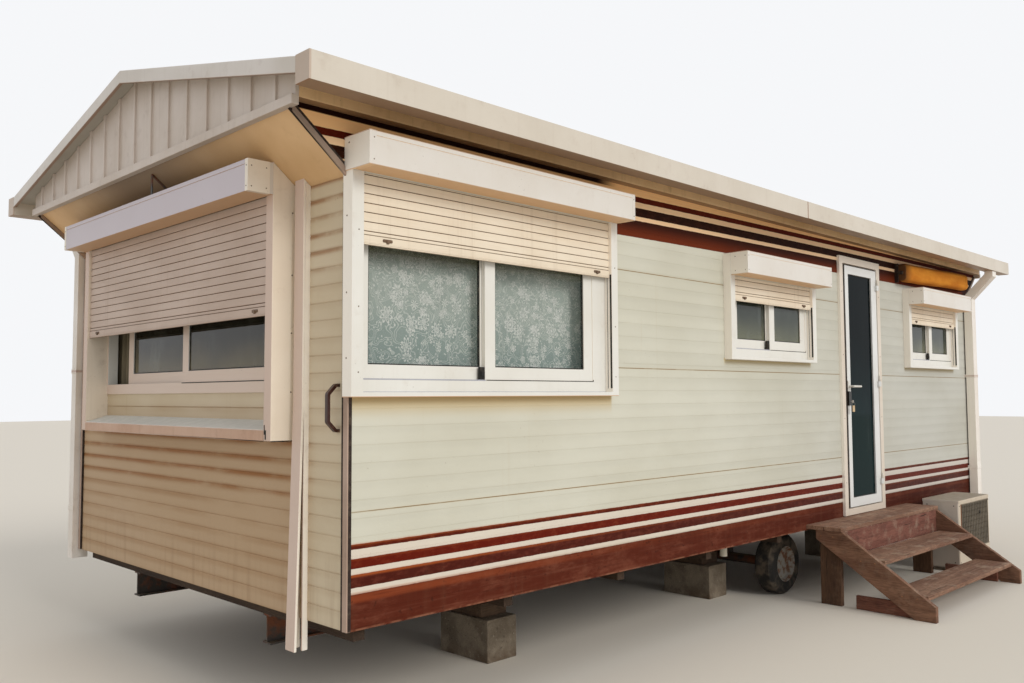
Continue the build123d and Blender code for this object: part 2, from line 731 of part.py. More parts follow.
def door_frame():
    frame = block(DOOR_X, DOOR_END, -DOOR_FRAME_OUT, WALL, DOOR_BOTTOM, DOOR_TOP)
    frame -= block(DOOR_X + DOOR_FRAME_BAR, DOOR_END - DOOR_FRAME_BAR, -DOOR_FRAME_OUT, WALL,
                   DOOR_BOTTOM + DOOR_SILL_HEIGHT, DOOR_TOP - DOOR_FRAME_BAR)
    x, y = hinge_axis()
    for z in hinge_heights():
        middle = z + HINGE_LENGTH / 2
        pin = Pos(x, y, middle) * Cylinder(HINGE_BORE - HINGE_PLAY, HINGE_LENGTH)
        flap = block(x, x + HINGE_FLAP, y + HINGE_RADIUS - HINGE_FLAP_SINK, -DOOR_FRAME_OUT,
                     middle + HINGE_END_GAP, z + HINGE_LENGTH - HINGE_END_GAP)
        frame += knuckle(z + HINGE_LENGTH * 3 / 4) + pin + flap
    return frame


def leaf_edges():
    """The leaf's left, right, bottom and top edges."""
    return (DOOR_X + DOOR_FRAME_BAR + DOOR_GAP, DOOR_END - DOOR_FRAME_BAR - DOOR_GAP,
            DOOR_BOTTOM + DOOR_SILL_HEIGHT + DOOR_GAP, DOOR_TOP - DOOR_FRAME_BAR - DOOR_GAP)


def hinge_heights():
    """The feet of the three hinges, the middle one halfway."""
    low, high = DOOR_BOTTOM + HINGE_FROM_BOTTOM, DOOR_TOP - HINGE_FROM_TOP - HINGE_LENGTH
    return (low, (low + high) / 2, high)


def hinge_axis():
    """The hinge line, in front of the gap on the leaf's right."""
    return (leaf_edges()[1] + DOOR_GAP / 2, -DOOR_FRAME_OUT - HINGE_OUT)


def knuckle(middle):
    """One knuckle of a hinge, half as long as the hinge."""
    x, y = hinge_axis()
    return Pos(x, y, middle) * Cylinder(HINGE_RADIUS, HINGE_LENGTH / 2 - 2 * HINGE_END_GAP)


def door_leaf():
    left, right, bottom, top = leaf_edges()
    leaf = block(left, right, -LEAF_OUT, LEAF_THICK - LEAF_OUT, bottom, top)
    leaf -= block(left + LEAF_STILE, right - LEAF_STILE, -LEAF_OUT, LEAF_THICK - LEAF_OUT,
                  bottom + LEAF_RAIL, top - LEAF_RAIL)
    x, y = hinge_axis()
    for z in hinge_heights():
        middle = z + HINGE_LENGTH / 2
        flap = block(x - HINGE_FLAP, x, y - HINGE_FLAP_SINK / 2, -LEAF_OUT, z + HINGE_END_GAP,
                     middle - HINGE_END_GAP)
        leaf += knuckle(z + HINGE_LENGTH / 4) + flap
        leaf -= Pos(x, y, z + HINGE_LENGTH / 4) * Cylinder(HINGE_BORE, HINGE_LENGTH / 2)
    return leaf


def door_glass():
    left, right, bottom, top = leaf_edges()
    middle = LEAF_THICK / 2 - LEAF_OUT
    return block(left + LEAF_STILE, right - LEAF_STILE, middle - DOOR_GLASS_THICK / 2,
                 middle + DOOR_GLASS_THICK / 2, bottom + LEAF_RAIL, top - LEAF_RAIL)


def door_handle():
    """A lever on its plate on the leaf's left stile, with the lock's case below it."""
    x, face = leaf_edges()[0] + LEAF_STILE / 2, -LEAF_OUT
    plate = block(x - PLATE_WIDTH / 2, x + PLATE_WIDTH / 2, face - PLATE_THICK, face,
                  LATCH_HEIGHT - PLATE_HEIGHT / 2, LATCH_HEIGHT + PLATE_HEIGHT / 2)
    stem = Pos(x, face - LEVER_OUT / 2, LATCH_HEIGHT) * Rot(90, 0, 0) * Cylinder(LEVER_RADIUS, LEVER_OUT)
    lever = Pos(x + LEVER_LENGTH / 2 - LEVER_RADIUS, face - LEVER_OUT, LATCH_HEIGHT) * Rot(0, 90, 0) * Cylinder(
        LEVER_RADIUS, LEVER_LENGTH)
    middle = LATCH_HEIGHT - LOCK_DROP
    lock = block(x - LOCK_WIDTH / 2, x + LOCK_WIDTH / 2, face - LOCK_THICK, face, middle - LOCK_HEIGHT / 2,
                 middle + LOCK_HEIGHT / 2)
    return plate + stem + lever + lock


def grab_handle():
    """A D handle with cut corners on the end wall by the front corner."""
    corner = GRAB_OUT - GRAB_CORNER
    points = [(0, GRAB_Y, GRAB_LOW), (-corner, GRAB_Y, GRAB_LOW), (-GRAB_OUT, GRAB_Y, GRAB_LOW + GRAB_CORNER),
              (-GRAB_OUT, GRAB_Y, GRAB_HIGH - GRAB_CORNER), (-corner, GRAB_Y, GRAB_HIGH), (0, GRAB_Y, GRAB_HIGH)]
    path = FilletPolyline(*points, radius=GRAB_BEND)
    start = Plane(origin=path @ 0, x_dir=(0, 1, 0), z_dir=path % 0)
    return sweep(start * Rectangle(GRAB_BAR_WIDTH, GRAB_BAR_THICK), path=path)


# Chassis


def joist_starts():
    spacing = (BODY_LENGTH - 2 * BEAM_END_GAP - JOIST_SIZE) / (JOIST_COUNT - 1)
    return [BEAM_END_GAP + number * spacing for number in range(JOIST_COUNT)]


def joists():
    return [block(x, x + JOIST_SIZE, WALL, BODY_WIDTH - WALL, -JOIST_SIZE, 0) for x in joist_starts()]


def beam():
    """A rolled I beam along the body."""
    half, web = BEAM_WIDTH / 2, BEAM_WEB / 2
    profile = block(BEAM_END_GAP, BODY_LENGTH - BEAM_END_GAP, BEAM_FROM_SIDE - half, BEAM_FROM_SIDE + half,
                    BEAM_BOTTOM, -JOIST_SIZE)
    for y0, y1 in ((BEAM_FROM_SIDE - half, BEAM_FROM_SIDE - web), (BEAM_FROM_SIDE + web, BEAM_FROM_SIDE + half)):
        profile -= block(BEAM_END_GAP, BODY_LENGTH - BEAM_END_GAP, y0, y1, BEAM_BOTTOM + BEAM_WEB,
                         -JOIST_SIZE - BEAM_WEB)
    return profile


def pier(x):
    return block(x - PIER_WIDTH / 2, x + PIER_WIDTH / 2, BEAM_FROM_SIDE - PIER_LENGTH / 2,
                 BEAM_FROM_SIDE + PIER_LENGTH / 2, GROUND, PIER_TOP)


def packer(x):
    return block(x - PACKER_WIDTH / 2, x + PACKER_WIDTH / 2, BEAM_FROM_SIDE - PACKER_LENGTH / 2,
                 BEAM_FROM_SIDE + PACKER_LENGTH / 2, PIER_TOP, BEAM_BOTTOM)


def axle():
    """The axle tube with a pad up to each beam."""
    z = GROUND + WHEEL_RADIUS
    y0 = WHEEL_FROM_SIDE + WHEEL_WIDTH
    tube = Pos(AXLE_X, BODY_WIDTH / 2, z) * Rot(90, 0, 0) * Cylinder(AXLE_RADIUS, BODY_WIDTH - 2 * y0)
    for y in (BEAM_FROM_SIDE, BODY_WIDTH - BEAM_FROM_SIDE):
        tube += block(AXLE_X - AXLE_RADIUS, AXLE_X + AXLE_RADIUS, y - BEAM_WIDTH / 2, y + BEAM_WIDTH / 2,
                      z, BEAM_BOTTOM)
    return tube


def wheel():
    """A tyre with a dished rim, on the front side."""
    half, shoulder = WHEEL_WIDTH / 2, TYRE_SHOULDER
    outline = Polyline((0, -half), (WHEEL_RADIUS - shoulder, -half), (WHEEL_RADIUS, -half + shoulder),
                       (WHEEL_RADIUS, half - shoulder), (WHEEL_RADIUS - shoulder, half), (RIM_RADIUS, half),
                       (RIM_RADIUS - RIM_DISH / 2, half - RIM_DISH), (0, half - RIM_DISH), close=True)
    turned = revolve(Plane.XZ * make_face(outline), Axis.Z)
    z = GROUND + WHEEL_RADIUS
    return Pos(AXLE_X, WHEEL_FROM_SIDE + half, z) * Rot(90, 0, 0) * turned


# Steps


def stringer(x):
    """A sloping side board, cut level on the ground and under the platform, and plumb at both ends."""
    front, back, head = -STRINGER_REACH, -PLATFORM_DEPTH, -STRINGER_HEAD_GAP
    nose, top = GROUND + STRINGER_FOOT, PLATFORM_TOP - PLANK_THICK
    slope = (top - nose) / (back - front)
    heel = front + (STRINGER_PLUMB - STRINGER_FOOT) / slope
    outline = [(front, GROUND), (front, nose), (back, top), (head, top),
               (head, top - STRINGER_PLUMB + slope * (head - back)), (heel, GROUND)]
    return along_x(outline, x, x + STRINGER_THICK)


def stringers():
    return [stringer(x) for x in (STEP_X + STEP_LAP, STEP_END - STEP_LAP - STRINGER_THICK)]


def treads():
    """The platform of two planks and the lower treads between the stringers."""
    bottom, half = PLATFORM_TOP - PLANK_THICK, PLATFORM_DEPTH / 2
    planks = [block(STEP_X, STEP_END, y, y + half - PLANK_GAP / 2, bottom, PLATFORM_TOP)
              for y in (-PLATFORM_DEPTH, -half + PLANK_GAP / 2)]
    for number in range(1, TREAD_COUNT + 1):
        front, top = -PLATFORM_DEPTH - number * TREAD_GOING, PLATFORM_TOP - number * TREAD_RISE
        planks.append(block(STEP_X + STEP_INSET, STEP_END - STEP_INSET, front, front + TREAD_DEPTH,
                            top - PLANK_THICK, top))
    return planks


def step_posts():
    """A wide upright board under each end of the platform, against the stringer's inner face."""
    front, top = -PLATFORM_DEPTH + POST_SETBACK, PLATFORM_TOP - PLANK_THICK
    return [block(x, x + STRINGER_THICK, front, front + POST_WIDTH, GROUND, top)
            for x in (STEP_X + STEP_INSET, STEP_END - STEP_INSET - STRINGER_THICK)]


def step_apron():
    """The board under the platform's front edge."""
    top = PLATFORM_TOP - PLANK_THICK
    return block(STEP_X + STEP_INSET, STEP_END - STEP_INSET, -PLATFORM_DEPTH, -PLATFORM_DEPTH + APRON_THICK,
                 top - APRON_HEIGHT, top)


def step_side_boards():
    """The low boards on the ground, inside the stringers' feet."""
    return [block(x, x + PLANK_THICK, -SIDE_BOARD_REACH, SIDE_BOARD_LENGTH - SIDE_BOARD_REACH, GROUND,
                  GROUND + SIDE_BOARD_HEIGHT)
            for x in (STEP_X + STEP_INSET, STEP_END - STEP_INSET - PLANK_THICK)]


# Fittings


def awning_ends():
    """Where the awning's brackets begin and end along the wall."""
    return (FAR_WINDOW_X - AWNING_BEFORE_WINDOW, FAR_WINDOW_X + SMALL_WINDOW_WIDTH + AWNING_PAST_WINDOW)


def awning_foot():
    """The roll's lowest line, just over the far window's shutter box."""
    return SMALL_WINDOW_TOP + BOX_HEIGHT + AWNING_ABOVE_BOX


def awning_roll():
    """The cloth rolled up, flattened against the wall and hung a little higher at its far end."""
    x0, x1 = awning_ends()
    start = Pos(x0 + AWNING_BRACKET, -AWNING_DEPTH / 2 - AWNING_WALL_GAP, awning_foot() + AWNING_HEIGHT / 2)
    end_shape = start * (Plane.YZ * RectangleRounded(AWNING_DEPTH, AWNING_HEIGHT, AWNING_ROUND))
    run = Vector(x1 - x0 - 2 * AWNING_BRACKET, 0, AWNING_RISE)
    return extrude(end_shape, amount=run.length, dir=run.normalized())


def awning_brackets():
    """A plate on the wall at each end of the roll."""
    x0, x1 = awning_ends()
    reach, low = -AWNING_DEPTH - AWNING_WALL_GAP, awning_foot()
    return [block(x, x + AWNING_BRACKET, reach, 0, low + rise, low + rise + AWNING_HEIGHT)
            for x, rise in ((x0, 0), (x1 - AWNING_BRACKET, AWNING_RISE))]


def ac_bounds():
    return (AC_X, AC_X + AC_WIDTH, -AC_WALL_GAP - AC_DEPTH, -AC_WALL_GAP)


def grille_bounds():
    """The opening in the outdoor unit's front, as left, right, foot and top."""
    x0, x1, y0, y1 = ac_bounds()
    return (x0 + AC_FRAME_NEAR, x1 - AC_FRAME_FAR, GROUND + AC_FOOT + AC_FRAME_BOTTOM, AC_TOP - AC_FRAME_TOP)


def air_conditioner():
    """The outdoor unit's casing on two feet, its front left open for the grille."""
    x0, x1, y0, y1 = ac_bounds()
    casing = block(x0, x1, y0, y1, GROUND + AC_FOOT, AC_TOP)
    casing = fillet(casing.edges().filter_by(Axis.Z), AC_CORNER)
    left, right, low, high = grille_bounds()
    casing -= block(left, right, y0, y0 + GRILLE_DEPTH, low, high)
    for x in (x0 + AC_FOOT_INSET, x1 - AC_FOOT_INSET - AC_FOOT_WIDTH):
        casing += block(x, x + AC_FOOT_WIDTH, y0 + AC_CORNER, y1 - AC_CORNER, GROUND, GROUND + AC_FOOT)
    return casing


def ac_grille():
    """The louvred panel in the unit's front."""
    left, right, low, high = grille_bounds()
    y0 = ac_bounds()[2]
    outline = [(y0 + GRILLE_THICK, low), (y0 + GRILLE_THICK, high), (y0, high)]
    louvres = int((high - low) / GRILLE_PITCH)
    for number in range(louvres):
        z = high - number * GRILLE_PITCH - GRILLE_PITCH / 2
        outline += [(y0, z), (y0 + GRILLE_SLOT_DEPTH, z), (y0, z - GRILLE_SLOT)]
    outline.append((y0, low))
    return along_x(outline, left, right)


def eave_bracket():
    """The bent strap that ties the end window's shutter box to the soffit."""
    inner, outer, thick = BRACKET_INNER, BRACKET_OUTER, BRACKET_THICK
    box_top = end_box_bottom() + BOX_HEIGHT
    outline = [(-inner, soffit_underside(inner)), (-outer, soffit_underside(outer)), (-outer, box_top),
               (-outer + thick, box_top), (-outer + thick, soffit_underside(outer) - 2 * thick),
               (-inner, soffit_underside(inner) - thick)]
    return along_y(outline, BRACKET_Y, BRACKET_Y + BRACKET_WIDTH)


def drain_stub():
    x = joist_starts()[STUB_JOIST] - STUB_FROM_JOIST
    return Pos(x, STUB_Y, -STUB_LENGTH / 2) * Cylinder(STUB_RADIUS, STUB_LENGTH)


def main():
    os.makedirs("parts", exist_ok=True)
    save("front_wall_near", front_wall_near())
    save("front_wall_far", front_wall_far())
    save("front_wall_over_door", wall_part(DOOR_X, DOOR_END, z0=DOOR_TOP))
    save("front_wall_sill", wall_part(DOOR_X, DOOR_END, z1=DOOR_BOTTOM))
    save("back_wall", back_wall())
    save("near_end_wall", near_end_wall())
    save("far_end_wall", to_far_end(end_wall()))
    save("floor", floor())
    save("ceiling", ceiling())
    save("roof_front", roof_front())
    save("roof_back", to_back(roof_front()))
    save("ridge_cap", ridge_cap())
    save("gables", gable(), to_far_end(gable()))
    save("bargeboards", bargeboard(), to_far_end(bargeboard()))
    save("end_soffits", end_soffit(), to_far_end(end_soffit()))
    save("eave_boards", eave_board(), to_back(eave_board()))
    save("gutters", gutter(), to_back_near_end(gutter()))
    save("downpipe", downpipe(), to_back_near_end(downpipe()))
    rail = corner_rail()
    save("corner_rails", rail, to_far_end(rail), to_back(rail), to_far_end(to_back(rail)))
    save("end_trims", *end_trim())
    save("window_surrounds", front_surround(), *at_small_windows(small_surround))
    save("window_sashes", window_frame(*FRONT_GLAZING), *sashes(*FRONT_GLAZING), *end_sashes(),
         *at_small_windows(small_sashes))
    save("window_glass", *panes(*FRONT_GLAZING), *end_panes(), *at_small_windows(small_panes))
    save("shutter_boxes", shutter_box(*FRONT_WINDOW), end_shutter_box(), *at_small_windows(small_box))
    save("shutters", shutter(FRONT_WINDOW_X, FRONT_WINDOW_WIDTH, FRONT_WINDOW_TOP, FRONT_SHUTTER_DROP),
         end_shutter(), *at_small_windows(small_shutter))
    save("end_window_casing", *end_casing())
    save("door_frame", door_frame())
    save("door_leaf", door_leaf())
    save("door_glass", door_glass())
    save("door_handle", door_handle())
    save("grab_handle", grab_handle())
    save("joists", *joists())
    save("chassis_beams", beam(), to_back(beam()))
    save("concrete_piers", *[pier(x) for x in PIER_X], *[to_back(pier(x)) for x in PIER_X])
    save("timber_packers", *[packer(x) for x in PIER_X], *[to_back(packer(x)) for x in PIER_X])
    save("axle", axle())
    save("wheels", wheel(), to_back(wheel()))
    save("step_treads", *treads())
    save("step_stringers", *stringers())
    save("step_posts", *step_posts())
    save("step_apron", step_apron())
    save("step_side_boards", *step_side_boards())
    save("awning_roll", awning_roll())
    save("awning_brackets", *awning_brackets())
    save("air_conditioner", air_conditioner())
    save("ac_grille", ac_grille())
    save("eave_bracket", eave_bracket())
    save("drain_stub", drain_stub())


main()
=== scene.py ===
"""Mobile home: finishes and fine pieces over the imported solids. Metres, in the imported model's frame."""
import math

import bmesh
import bpy
from mathutils import Matrix, Vector


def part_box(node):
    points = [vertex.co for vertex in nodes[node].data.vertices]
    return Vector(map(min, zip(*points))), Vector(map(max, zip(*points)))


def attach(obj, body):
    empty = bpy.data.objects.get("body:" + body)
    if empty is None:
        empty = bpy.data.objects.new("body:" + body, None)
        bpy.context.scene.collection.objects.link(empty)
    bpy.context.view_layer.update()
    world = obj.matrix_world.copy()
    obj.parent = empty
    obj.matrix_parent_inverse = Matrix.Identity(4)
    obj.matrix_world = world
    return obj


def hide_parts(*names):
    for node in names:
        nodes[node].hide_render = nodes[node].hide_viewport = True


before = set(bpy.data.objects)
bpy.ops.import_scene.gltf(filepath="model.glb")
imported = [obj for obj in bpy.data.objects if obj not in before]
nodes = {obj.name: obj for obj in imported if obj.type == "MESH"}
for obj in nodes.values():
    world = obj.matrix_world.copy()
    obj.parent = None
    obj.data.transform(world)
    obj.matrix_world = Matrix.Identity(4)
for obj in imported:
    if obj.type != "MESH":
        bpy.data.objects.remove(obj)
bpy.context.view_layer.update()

# The body's front near corner at the underside of its walls; every place below is counted from it.
HOME = Vector((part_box("near_end_wall")[0].x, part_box("front_wall_near")[0].y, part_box("near_end_wall")[0].z))
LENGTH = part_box("far_end_wall")[1].x - HOME.x
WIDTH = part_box("back_wall")[1].y - HOME.y
GROUND = -HOME.z

# The siding: its rib, how far it stands off the wall, its grooves' depths and the long walls' sheet joints.
PLANK = 0.078
SKIN = 0.004
FRONT_GROOVE = 0.0008
END_GROOVE = 0.0018
SHEET_JOINTS = (0.498, 1.145, 1.710)

# As many patches along each axis.
EVEN = (1, 1, 1)

# The wheels' middle, seen from the side.
WHEEL_CENTRE = (4.150, 0.0, GROUND + 0.225)

# The long walls' top, and the tongue that they run out in past each corner: its reach, lower and upper end.
EAVE_LINE = 2.205
BEAK = (0.295, 1.945, 2.187)

# The roof's overhang past the long walls, its rise from there to the ridge, and its lower edge.
OVERHANG = 0.205
ROOF_RISE = 0.395
ROOF_FOOT = 2.300

# Openings: start, end, foot and top; a small window starts at each place along its wall.
FRONT_OPENING = (0.029, 1.705, 1.007, 1.955)
FRONT_STARTS = (2.941, 5.853)
BACK_STARTS = (LENGTH - 2.375, LENGTH - 6.190)
SMALL_WIDTH = 1.175
SMALL_Z = (1.220, 1.775)
DOOR_OPENING = (4.590, 5.328, 0.045, 2.085)
END_Y = (0.473, 2.638)
END_Z = (1.010, 1.905)


# Finishes

def paint(colour):
    """A screen's red, green and blue turned into the light they stand for; a tone stays as it is."""
    if isinstance(colour, Tone):
        return colour
    parts = [part / 255 for part in colour]
    return tuple(p / 12.92 if p <= 0.04045 else ((p + 0.055) / 1.055) ** 2.4 for p in parts) + (1.0,)


class Tone:
    """A number in a tree of nodes that takes part in plain arithmetic; it may also carry a colour or a vector."""

    def __init__(self, nodes_of, socket):
        self.nodes_of = nodes_of
        self.socket = socket

    def __add__(self, other):
        return self.nodes_of.maths("ADD", self, other)

    def __radd__(self, other):
        return self.nodes_of.maths("ADD", other, self)

    def __sub__(self, other):
        return self.nodes_of.maths("SUBTRACT", self, other)

    def __rsub__(self, other):
        return self.nodes_of.maths("SUBTRACT", other, self)

    def __mul__(self, other):
        return self.nodes_of.maths("MULTIPLY", self, other)

    def __rmul__(self, other):
        return self.nodes_of.maths("MULTIPLY", other, self)

    def __truediv__(self, other):
        return self.nodes_of.maths("DIVIDE", self, other)

    def __abs__(self):
        return self.nodes_of.maths("ABSOLUTE", self, 0.0)


class Nodes:
    """The shader nodes of a material or of the sky."""

    def __init__(self, owner):
        owner.use_nodes = True
        self.tree = owner.node_tree

    def node(self, kind, settings, values, out=0):
        """A node of one type: its settings first, then its sockets' values or links."""
        made = self.tree.nodes.new(kind)
        for name, value in settings.items():
            setattr(made, name, value)
        for key, value in (values.items() if isinstance(values, dict) else enumerate(values)):
            if isinstance(value, Tone):
                self.tree.links.new(value.socket, made.inputs[key])
            else:
                made.inputs[key].default_value = value
        return Tone(self, made.outputs[out])

    def maths(self, operation, *values):
        return self.node("ShaderNodeMath", {"operation": operation}, values)

    def vector(self, operation, *values, out=0):
        return self.node("ShaderNodeVectorMath", {"operation": operation}, values, out)


FINISHES = {}


class Finish(Nodes):
    """One material: a colour and other tones worked out over the surface, that end in a Principled surface."""

    def __init__(self, name, **fixed):
        self.material = bpy.data.materials.new(name)
        super().__init__(self.material)
        FINISHES[name] = self
        self.surface = self.tree.nodes["Principled BSDF"]
        for socket, value in fixed.items():
            self.surface.inputs[socket.replace("_", " ")].default_value = value
        self.colour = None
        self.place = self.vector("SUBTRACT", self.node("ShaderNodeTexCoord", {}, [], "Object"), tuple(HOME))
        self.x, self.y, self.z = self.parts(self.place)
        face = self.node("ShaderNodeNewGeometry", {}, [], "True Normal")
        self.facing_x, self.facing_y, self.facing_z = self.parts(face)

    def parts(self, vector):
        return [self.node("ShaderNodeSeparateXYZ", {}, [vector], part) for part in range(3)]

    def noise(self, scale, stretch=EVEN, detail=3.0, shift=0.0, rough=0.55):
        """Soft random patches, from 0 to 1, with about `scale` of them in a metre."""
        place = self.vector("MULTIPLY_ADD", self.place, stretch, (shift, shift, shift))
        return self.node("ShaderNodeTexNoise", {}, {"Vector": place, "Scale": scale, "Detail": detail,
                                                    "Roughness": rough})

    def rise(self, value, low, high):
        """0 below low, 1 past high, whichever way they lie."""
        return self.node("ShaderNodeMapRange", {"interpolation_type": "SMOOTHSTEP"},
                         {"Value": value, "From Min": low, "From Max": high})

    def patch(self, low, high, *noise):
        """Random patches, 1 where a noise is past high, 0 where it is below low."""
        return self.rise(self.noise(*noise), low, high)

    def strip(self, value, low, high, soft=0.0015):
        """1 between low and high, 0 outside."""
        return self.rise(value, low - soft, low + soft) * self.rise(value, high + soft, high - soft)

    def mix(self, share, one, two):
        """Colour one where the share is 0, two where it is 1."""
        return self.node("ShaderNodeMix", {"data_type": "RGBA"}, {0: share, 6: paint(one), 7: paint(two)}, 2)

    def lay(self, share, colour):
        """Lays a colour over the finish, where the share is 1."""
        self.colour = self.mix(share, self.colour, colour)

    def through(self, share, colour, light):
        """A colour as it looks through a filter that lets these parts of its light pass, where the share is 1."""
        return self.node("ShaderNodeMix", {"data_type": "RGBA", "blend_type": "MULTIPLY"},
                         {0: share, 6: colour, 7: (*light, 1.0)}, 2)

    def shade(self, colour, share, amount):
        """A colour darkened by up to an amount, where the share is 1."""
        return self.through(share, colour, (1.0 - amount,) * 3)

    def repeat(self, value, pitch):
        """How far a value is into its pitch, from 0 to 1."""
        return self.maths("FRACT", value / pitch)

    def relief(self, height, distance, strength):
        """Fine relief by a bump: the height's unit and how strongly it shows."""
        bump = self.node("ShaderNodeBump", {}, {"Height": height, "Distance": distance, "Strength": strength})
        self.tree.links.new(bump.socket, self.surface.inputs["Normal"])

    def feed(self, **tones):
        """Links the finish's colour and other tones to the surface."""
        for socket, tone in {"Base Color": self.colour, **tones}.items():
            self.tree.links.new(tone.socket, self.surface.inputs[socket])


def joint_mask(f, height, pitch, reach):
    """1 at each joint of a repeated plank or slat, fading over the reach."""
    into = f.repeat(height, pitch)
    nearest = f.maths("MINIMUM", into, 1.0 - into)
    return f.rise(nearest * pitch, reach, 0.0)


def end_wall_grime(f):
    """Brown dirt round the end window and rust in the joints over and beside it."""
    inner = f.rise(f.y, 0.22, 0.46) * f.rise(f.z, 1.05, 0.70)
    f.lay(inner * 0.80, (184, 154, 122))
    soft = joint_mask(f, f.z + 0.010, PLANK, 0.030) * f.patch(0.28, 0.60, 1.2, (1, 1, 3), 3.0, 15.0)
    f.lay(soft * (inner * (f.rise(f.z, 0.30, 0.62) * 0.24 + 0.22) + 0.14), (152, 110, 66))
    top = f.rise(f.z, 1.42, 1.70) + f.rise(f.z, 0.46, 0.58) * f.rise(f.z, 0.84, 0.80) * inner
    rust = joint_mask(f, f.z + 0.006, PLANK, 0.020) * top * f.patch(0.30, 0.56, 3.0, (1, 1, 2), 4.0, 25.0)
    f.lay(rust * 0.75, (146, 92, 44))


def long_wall_paint(f, broken):
    """The long walls' painted shade across the ribs, sheet joints, brown stripes, painted warm light under the
    eave, painted highlights on the low stripes' edges, skirt, painted shade under the windows and towards the far
    end; returns their extra roughness.
    """
    # Painted shade towards the edges of each rib.
    rib = f.rise(abs(f.repeat(f.z + 0.012, PLANK) - 0.5), 0.10, 0.48)
    f.colour = f.shade(f.colour, rib * (broken * 0.6 + 0.4), 0.045)
    # The joints between the sheets, each with a soft halo.
    for joint in SHEET_JOINTS:
        broken_line = f.patch(0.30, 0.50, 1.0, (5, 5, 1), 4.0, joint * 3) * 0.4 + 0.6
        f.lay(f.strip(f.z, joint - 0.0030, joint + 0.0018) * broken_line, (128, 106, 74))
        f.lay(f.strip(f.z, joint, joint, 0.012) * 0.5, (206, 184, 142))
    # The stripes follow two levels: the low ones the wall's foot, the high ones a slow rise towards the middle.
    edge = (f.noise(26.0, EVEN, 3.0, 4.0) - 0.5) * 0.004
    level = f.z + edge
    along = f.x - 2.04
    high_level = level - along * (0.0141 - along * 0.00092)
    # Painted warm light on the cream under the eave, above the high stripes and between them.
    f.lay(f.rise(high_level, 2.130, 2.134), (252, 202, 144))
    f.lay(f.strip(high_level, 2.005, 2.130, 0.004) * 0.9, (255, 214, 168))
    worn = f.noise(16.0, (1, 1, 2.4), 6.0, 21.0, 0.68)
    brown = f.mix(f.rise(worn, 0.44, 0.70), (84, 26, 12), (108, 46, 26))
    deep = f.mix(f.rise(worn, 0.40, 0.70), (82, 20, 6), (94, 32, 14))
    black = f.mix(f.rise(worn, 0.40, 0.70), (38, 12, 2), (58, 26, 12))
    # The red stripe darkens upwards, a painted shadow of the eave.
    shaded = f.mix(f.rise(high_level, 1.925, 2.008), (104, 42, 18), (54, 20, 8))
    red = f.mix(f.rise(worn, 0.44, 0.70), (96, 24, 10), (112, 42, 24))
    dull = f.mix(f.rise(worn, 0.42, 0.68), (74, 26, 17), (94, 42, 31))
    f.lay(f.strip(level, 0.160, 0.345, 0.004) * 0.45, (226, 206, 192))
    for low, high, tone in ((0.341, 0.362, brown), (0.260, 0.302, red), (0.180, 0.235, dull)):
        f.lay(f.strip(level, low, high), tone)
    for low, high, tone in ((2.125, 2.158, deep), (2.040, 2.092, black), (1.914, 2.015, shaded)):
        f.lay(f.strip(high_level, low, high), tone)
    f.lay(f.rise(f.z, 2.178, 2.184) * f.rise(f.x, 1.85, 1.65), (30, 8, 2))
    # Painted orange highlights along the low stripes' edges, stronger at the near end.
    near = f.rise(f.x, 2.2, 0.1)
    for low, high, share in ((0.358, 0.364, 0.55), (0.2965, 0.302, 0.25), (0.226, 0.235, 0.70),
                             (0.1530, 0.1595, 0.55)):
        edge_highlight = f.strip(level, low, high, 0.0075)
        f.lay(edge_highlight * (near * 0.7 + 0.3) * share, (190, 96, 46))
    # The brown skirt at the wall's foot, faded, drawn along and chipped, with painted shade and a painted sheen.
    skirt = f.rise(level, 0.1550, 0.1515)
    faded = f.mix(f.patch(0.44, 0.70, 5.5, (0.7, 1, 2.2), 6.0, 31.0, 0.7), (84, 34, 20), (108, 58, 42))
    # The skirt is painted darker towards the far end, as shade.
    f.lay(skirt, f.shade(faded, f.rise(f.x, 2.0, 6.8), 0.26))
    # A painted sheen along the skirt's upper edge, stronger at the near end.
    upper = f.strip(level, 0.118, 0.152, 0.010)
    f.lay(upper * (near * 0.4 + 0.15), (150, 72, 40))
    # Streaks drawn along the skirt; the lighter ones are a painted sheen.
    drawn = f.noise(1.0, (1.4, 1.4, 34), 4.0, 12.0, 0.6)
    f.lay(f.rise(drawn, 0.50, 0.72) * skirt * 0.30, (130, 80, 62))
    f.lay(f.rise(drawn, 0.46, 0.28) * skirt * 0.45, (58, 24, 16))
    bare = f.patch(0.62, 0.70, 34.0, EVEN, 4.0, 8.0) * skirt
    f.lay(bare * 0.5, (44, 22, 16))
    lip = f.rise(f.z, 0.011, 0.005) * f.patch(0.40, 0.58, 9.0, (1, 1, 0.2), 4.0, 14.0)
    f.lay(lip * 0.45, (164, 116, 90))
    # Painted shade under the windows of the front and the back.
    front = f.rise(f.y, 0.5, 0.4)
    for x0, x1, foot, run, share in (
            (-0.03, 1.76, 0.985, 0.110, front), (2.93, 4.12, 1.220, 0.045, front),
            (5.85, 7.03, 1.220, 0.045, front), (1.19, 2.38, 1.220, 0.045, 1.0 - front),
            (5.01, 6.20, 1.220, 0.045, 1.0 - front)):
        shade_under_window = f.strip(f.x, x0, x1, 0.008) * f.rise(f.z, foot - run, foot + 0.01) * share
        f.lay(shade_under_window * f.rise(f.z, foot + 0.012, foot + 0.008) * 0.85, (198, 174, 118))
    # Painted bluer, dimmer light towards the far end, over all of the long wall.
    f.colour = f.through(f.rise(f.x, 1.5, 6.8), f.colour, (0.83, 0.84, 0.90))
    return (skirt + f.rise(f.z, 1.90, 1.92)) * 0.18


